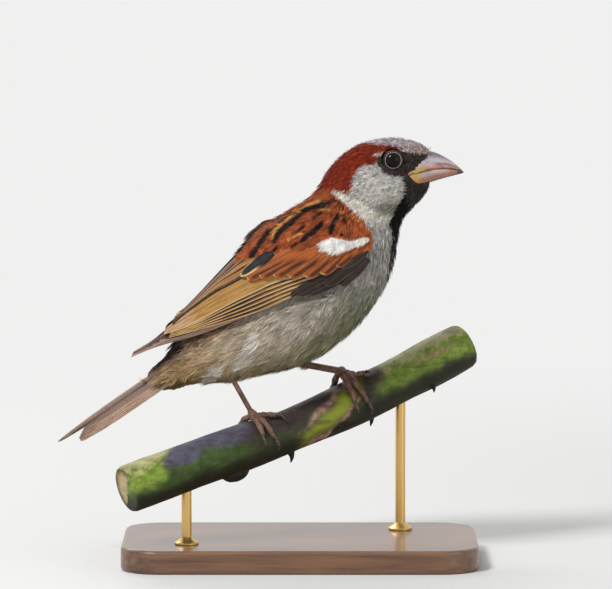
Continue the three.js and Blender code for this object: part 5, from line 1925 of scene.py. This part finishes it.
def clawFinish():
    finish = Finish("claw horn", {"Specular IOR Level": 0.5})
    place = finish.place()
    lines = finish.noise(finish.stretched(place, (700, 700, 2400)), 1, 3)
    finish.look(finish.blend(lines.above(0.35, 0.7), paint(52, 42, 40), paint(92, 76, 70)),
                0.28 + lines * 0.25)
    return finish


scaled, clawHorn = scaledFinish(), clawFinish()
for (sideName, leg), heel in zip(legs.items(), heels):
    settle(f"shank_{sideName}_scutes", shankForm(leg, heel), scaled, [f"shank_{sideName}"])
    foot = bmesh.new()
    bmesh.ops.create_uvsphere(foot, u_segments=24, v_segments=16, radius=shank["foot"])
    bmesh.ops.translate(foot, verts=foot.verts, vec=footPoint(leg).tolist())
    grip = bmesh.new()
    for turns, alongs, reach in leg["toes"]:
        addForm(foot, toeForm(leg, turns, alongs))
        addForm(grip, clawForm(leg, turns, alongs, reach))
    settle(f"toes_{sideName}", foot, scaled, [f"foot_{sideName}"])
    settle(f"claws_{sideName}", grip, clawHorn, [f"claw_{sideName}_{i + 1}" for i in range(4)])
print("legs are made")

# Stand: a flat base and two rods that hold the stem

base = {"length": 106, "width": 64, "height": 7, "corner": 12, "round": 1}
rod = {"radius": 1.5, "foot": 3.6, "footHeight": 1.6, "seat": 1.0, "stands": {"low": 0.17, "high": 0.8}}


def rounded(form, edges, offset, steps):
    bmesh.ops.bevel(form, geom=edges, offset=offset, affect="EDGES", segments=steps, profile=0.5, material=-1)


def baseForm():
    form = bmesh.new()
    bmesh.ops.create_cube(form, size=1)
    bmesh.ops.scale(form, verts=form.verts, vec=(base["length"], base["width"], base["height"]))
    bmesh.ops.translate(form, verts=form.verts, vec=(0, 0, base["height"] / 2))
    upright = [edge for edge in form.edges if abs(edge.verts[0].co.z - edge.verts[1].co.z) > 1]
    rounded(form, upright, base["corner"], 12)
    rims = []
    for edge in form.edges:
        rise = abs(edge.verts[0].co.z - edge.verts[1].co.z)
        flatness = [abs(face.normal.z) for face in edge.link_faces]
        if rise < 0.01 and max(flatness) > 0.9 and min(flatness) < 0.1:
            rims.append(edge)
    rounded(form, rims, base["round"], 5)
    return form


def rodForm(share):
    x, y, z = perchSpot(share)
    way = perchWay(share)
    top = z - perch["radius"] / math.sqrt(1 - way[2] ** 2) + rod["seat"]
    radius, wide, foot, tall = rod["radius"], rod["foot"], rod["footHeight"], top - base["height"]
    profile = [(0.01, 0), (wide - 0.2, 0), (wide, 0.2), (wide, foot * 0.4), (lerp(radius, wide, 0.3), foot),
               (radius, foot * 1.4), (radius, tall), (0.01, tall)]
    form = bmesh.new()
    spots = [form.verts.new((reach, 0, height)) for reach, height in profile]
    edges = [form.edges.new(pair) for pair in zip(spots, spots[1:])]
    spun(form, spots + edges, 48, 0.02)
    bmesh.ops.translate(form, verts=form.verts, vec=(x, y, base["height"]))
    return creased(form, 0.6)


def woodFinish():
    lacquer = {"Specular IOR Level": 0.5, "Coat Roughness": 0.12, "Coat Weight": 0.4}
    finish = Finish("lacquered wood", lacquer)
    place = finish.place()
    warp = finish.noise(place, 30, 3)
    grain = finish.noise(finish.stretched(place, (22, 420, 420)), 1, 5, 0.6)
    pores = finish.noise(finish.stretched(place, (120, 2600, 2600)), 1, 2)
    tone = finish.blend((grain + warp * 0.3).above(0.45, 0.85), paint(84, 56, 38), paint(128, 90, 62))
    finish.look(finish.blend(pores.above(0.62, 0.75) * 0.5, tone, paint(48, 30, 20)), 0.32 + grain * 0.15)
    finish.bump(pores, 0.1, 0.0001)
    return finish


def brassFinish():
    finish = Finish("brass", {"Metallic": 1.0})
    place = finish.place()
    brushed = finish.noise(finish.stretched(place, (600, 600, 5000)), 1, 2)
    dull = finish.noise(place, 90, 3)
    tarnished = finish.blend(dull.above(0.5, 0.8) * 0.5, paint(214, 178, 110), paint(176, 138, 82))
    finish.look(tarnished, 0.22 + brushed * 0.14 + dull * 0.08)
    return finish


settle("stand_base_wood", baseForm(), woodFinish(), ["stand_base"], smooth=False)
brass = brassFinish()
for rodName, share in rod["stands"].items():
    settle(f"stand_rod_{rodName}_brass", rodForm(share), brass, [f"stand_rod_{rodName}"])
print("stand is made")
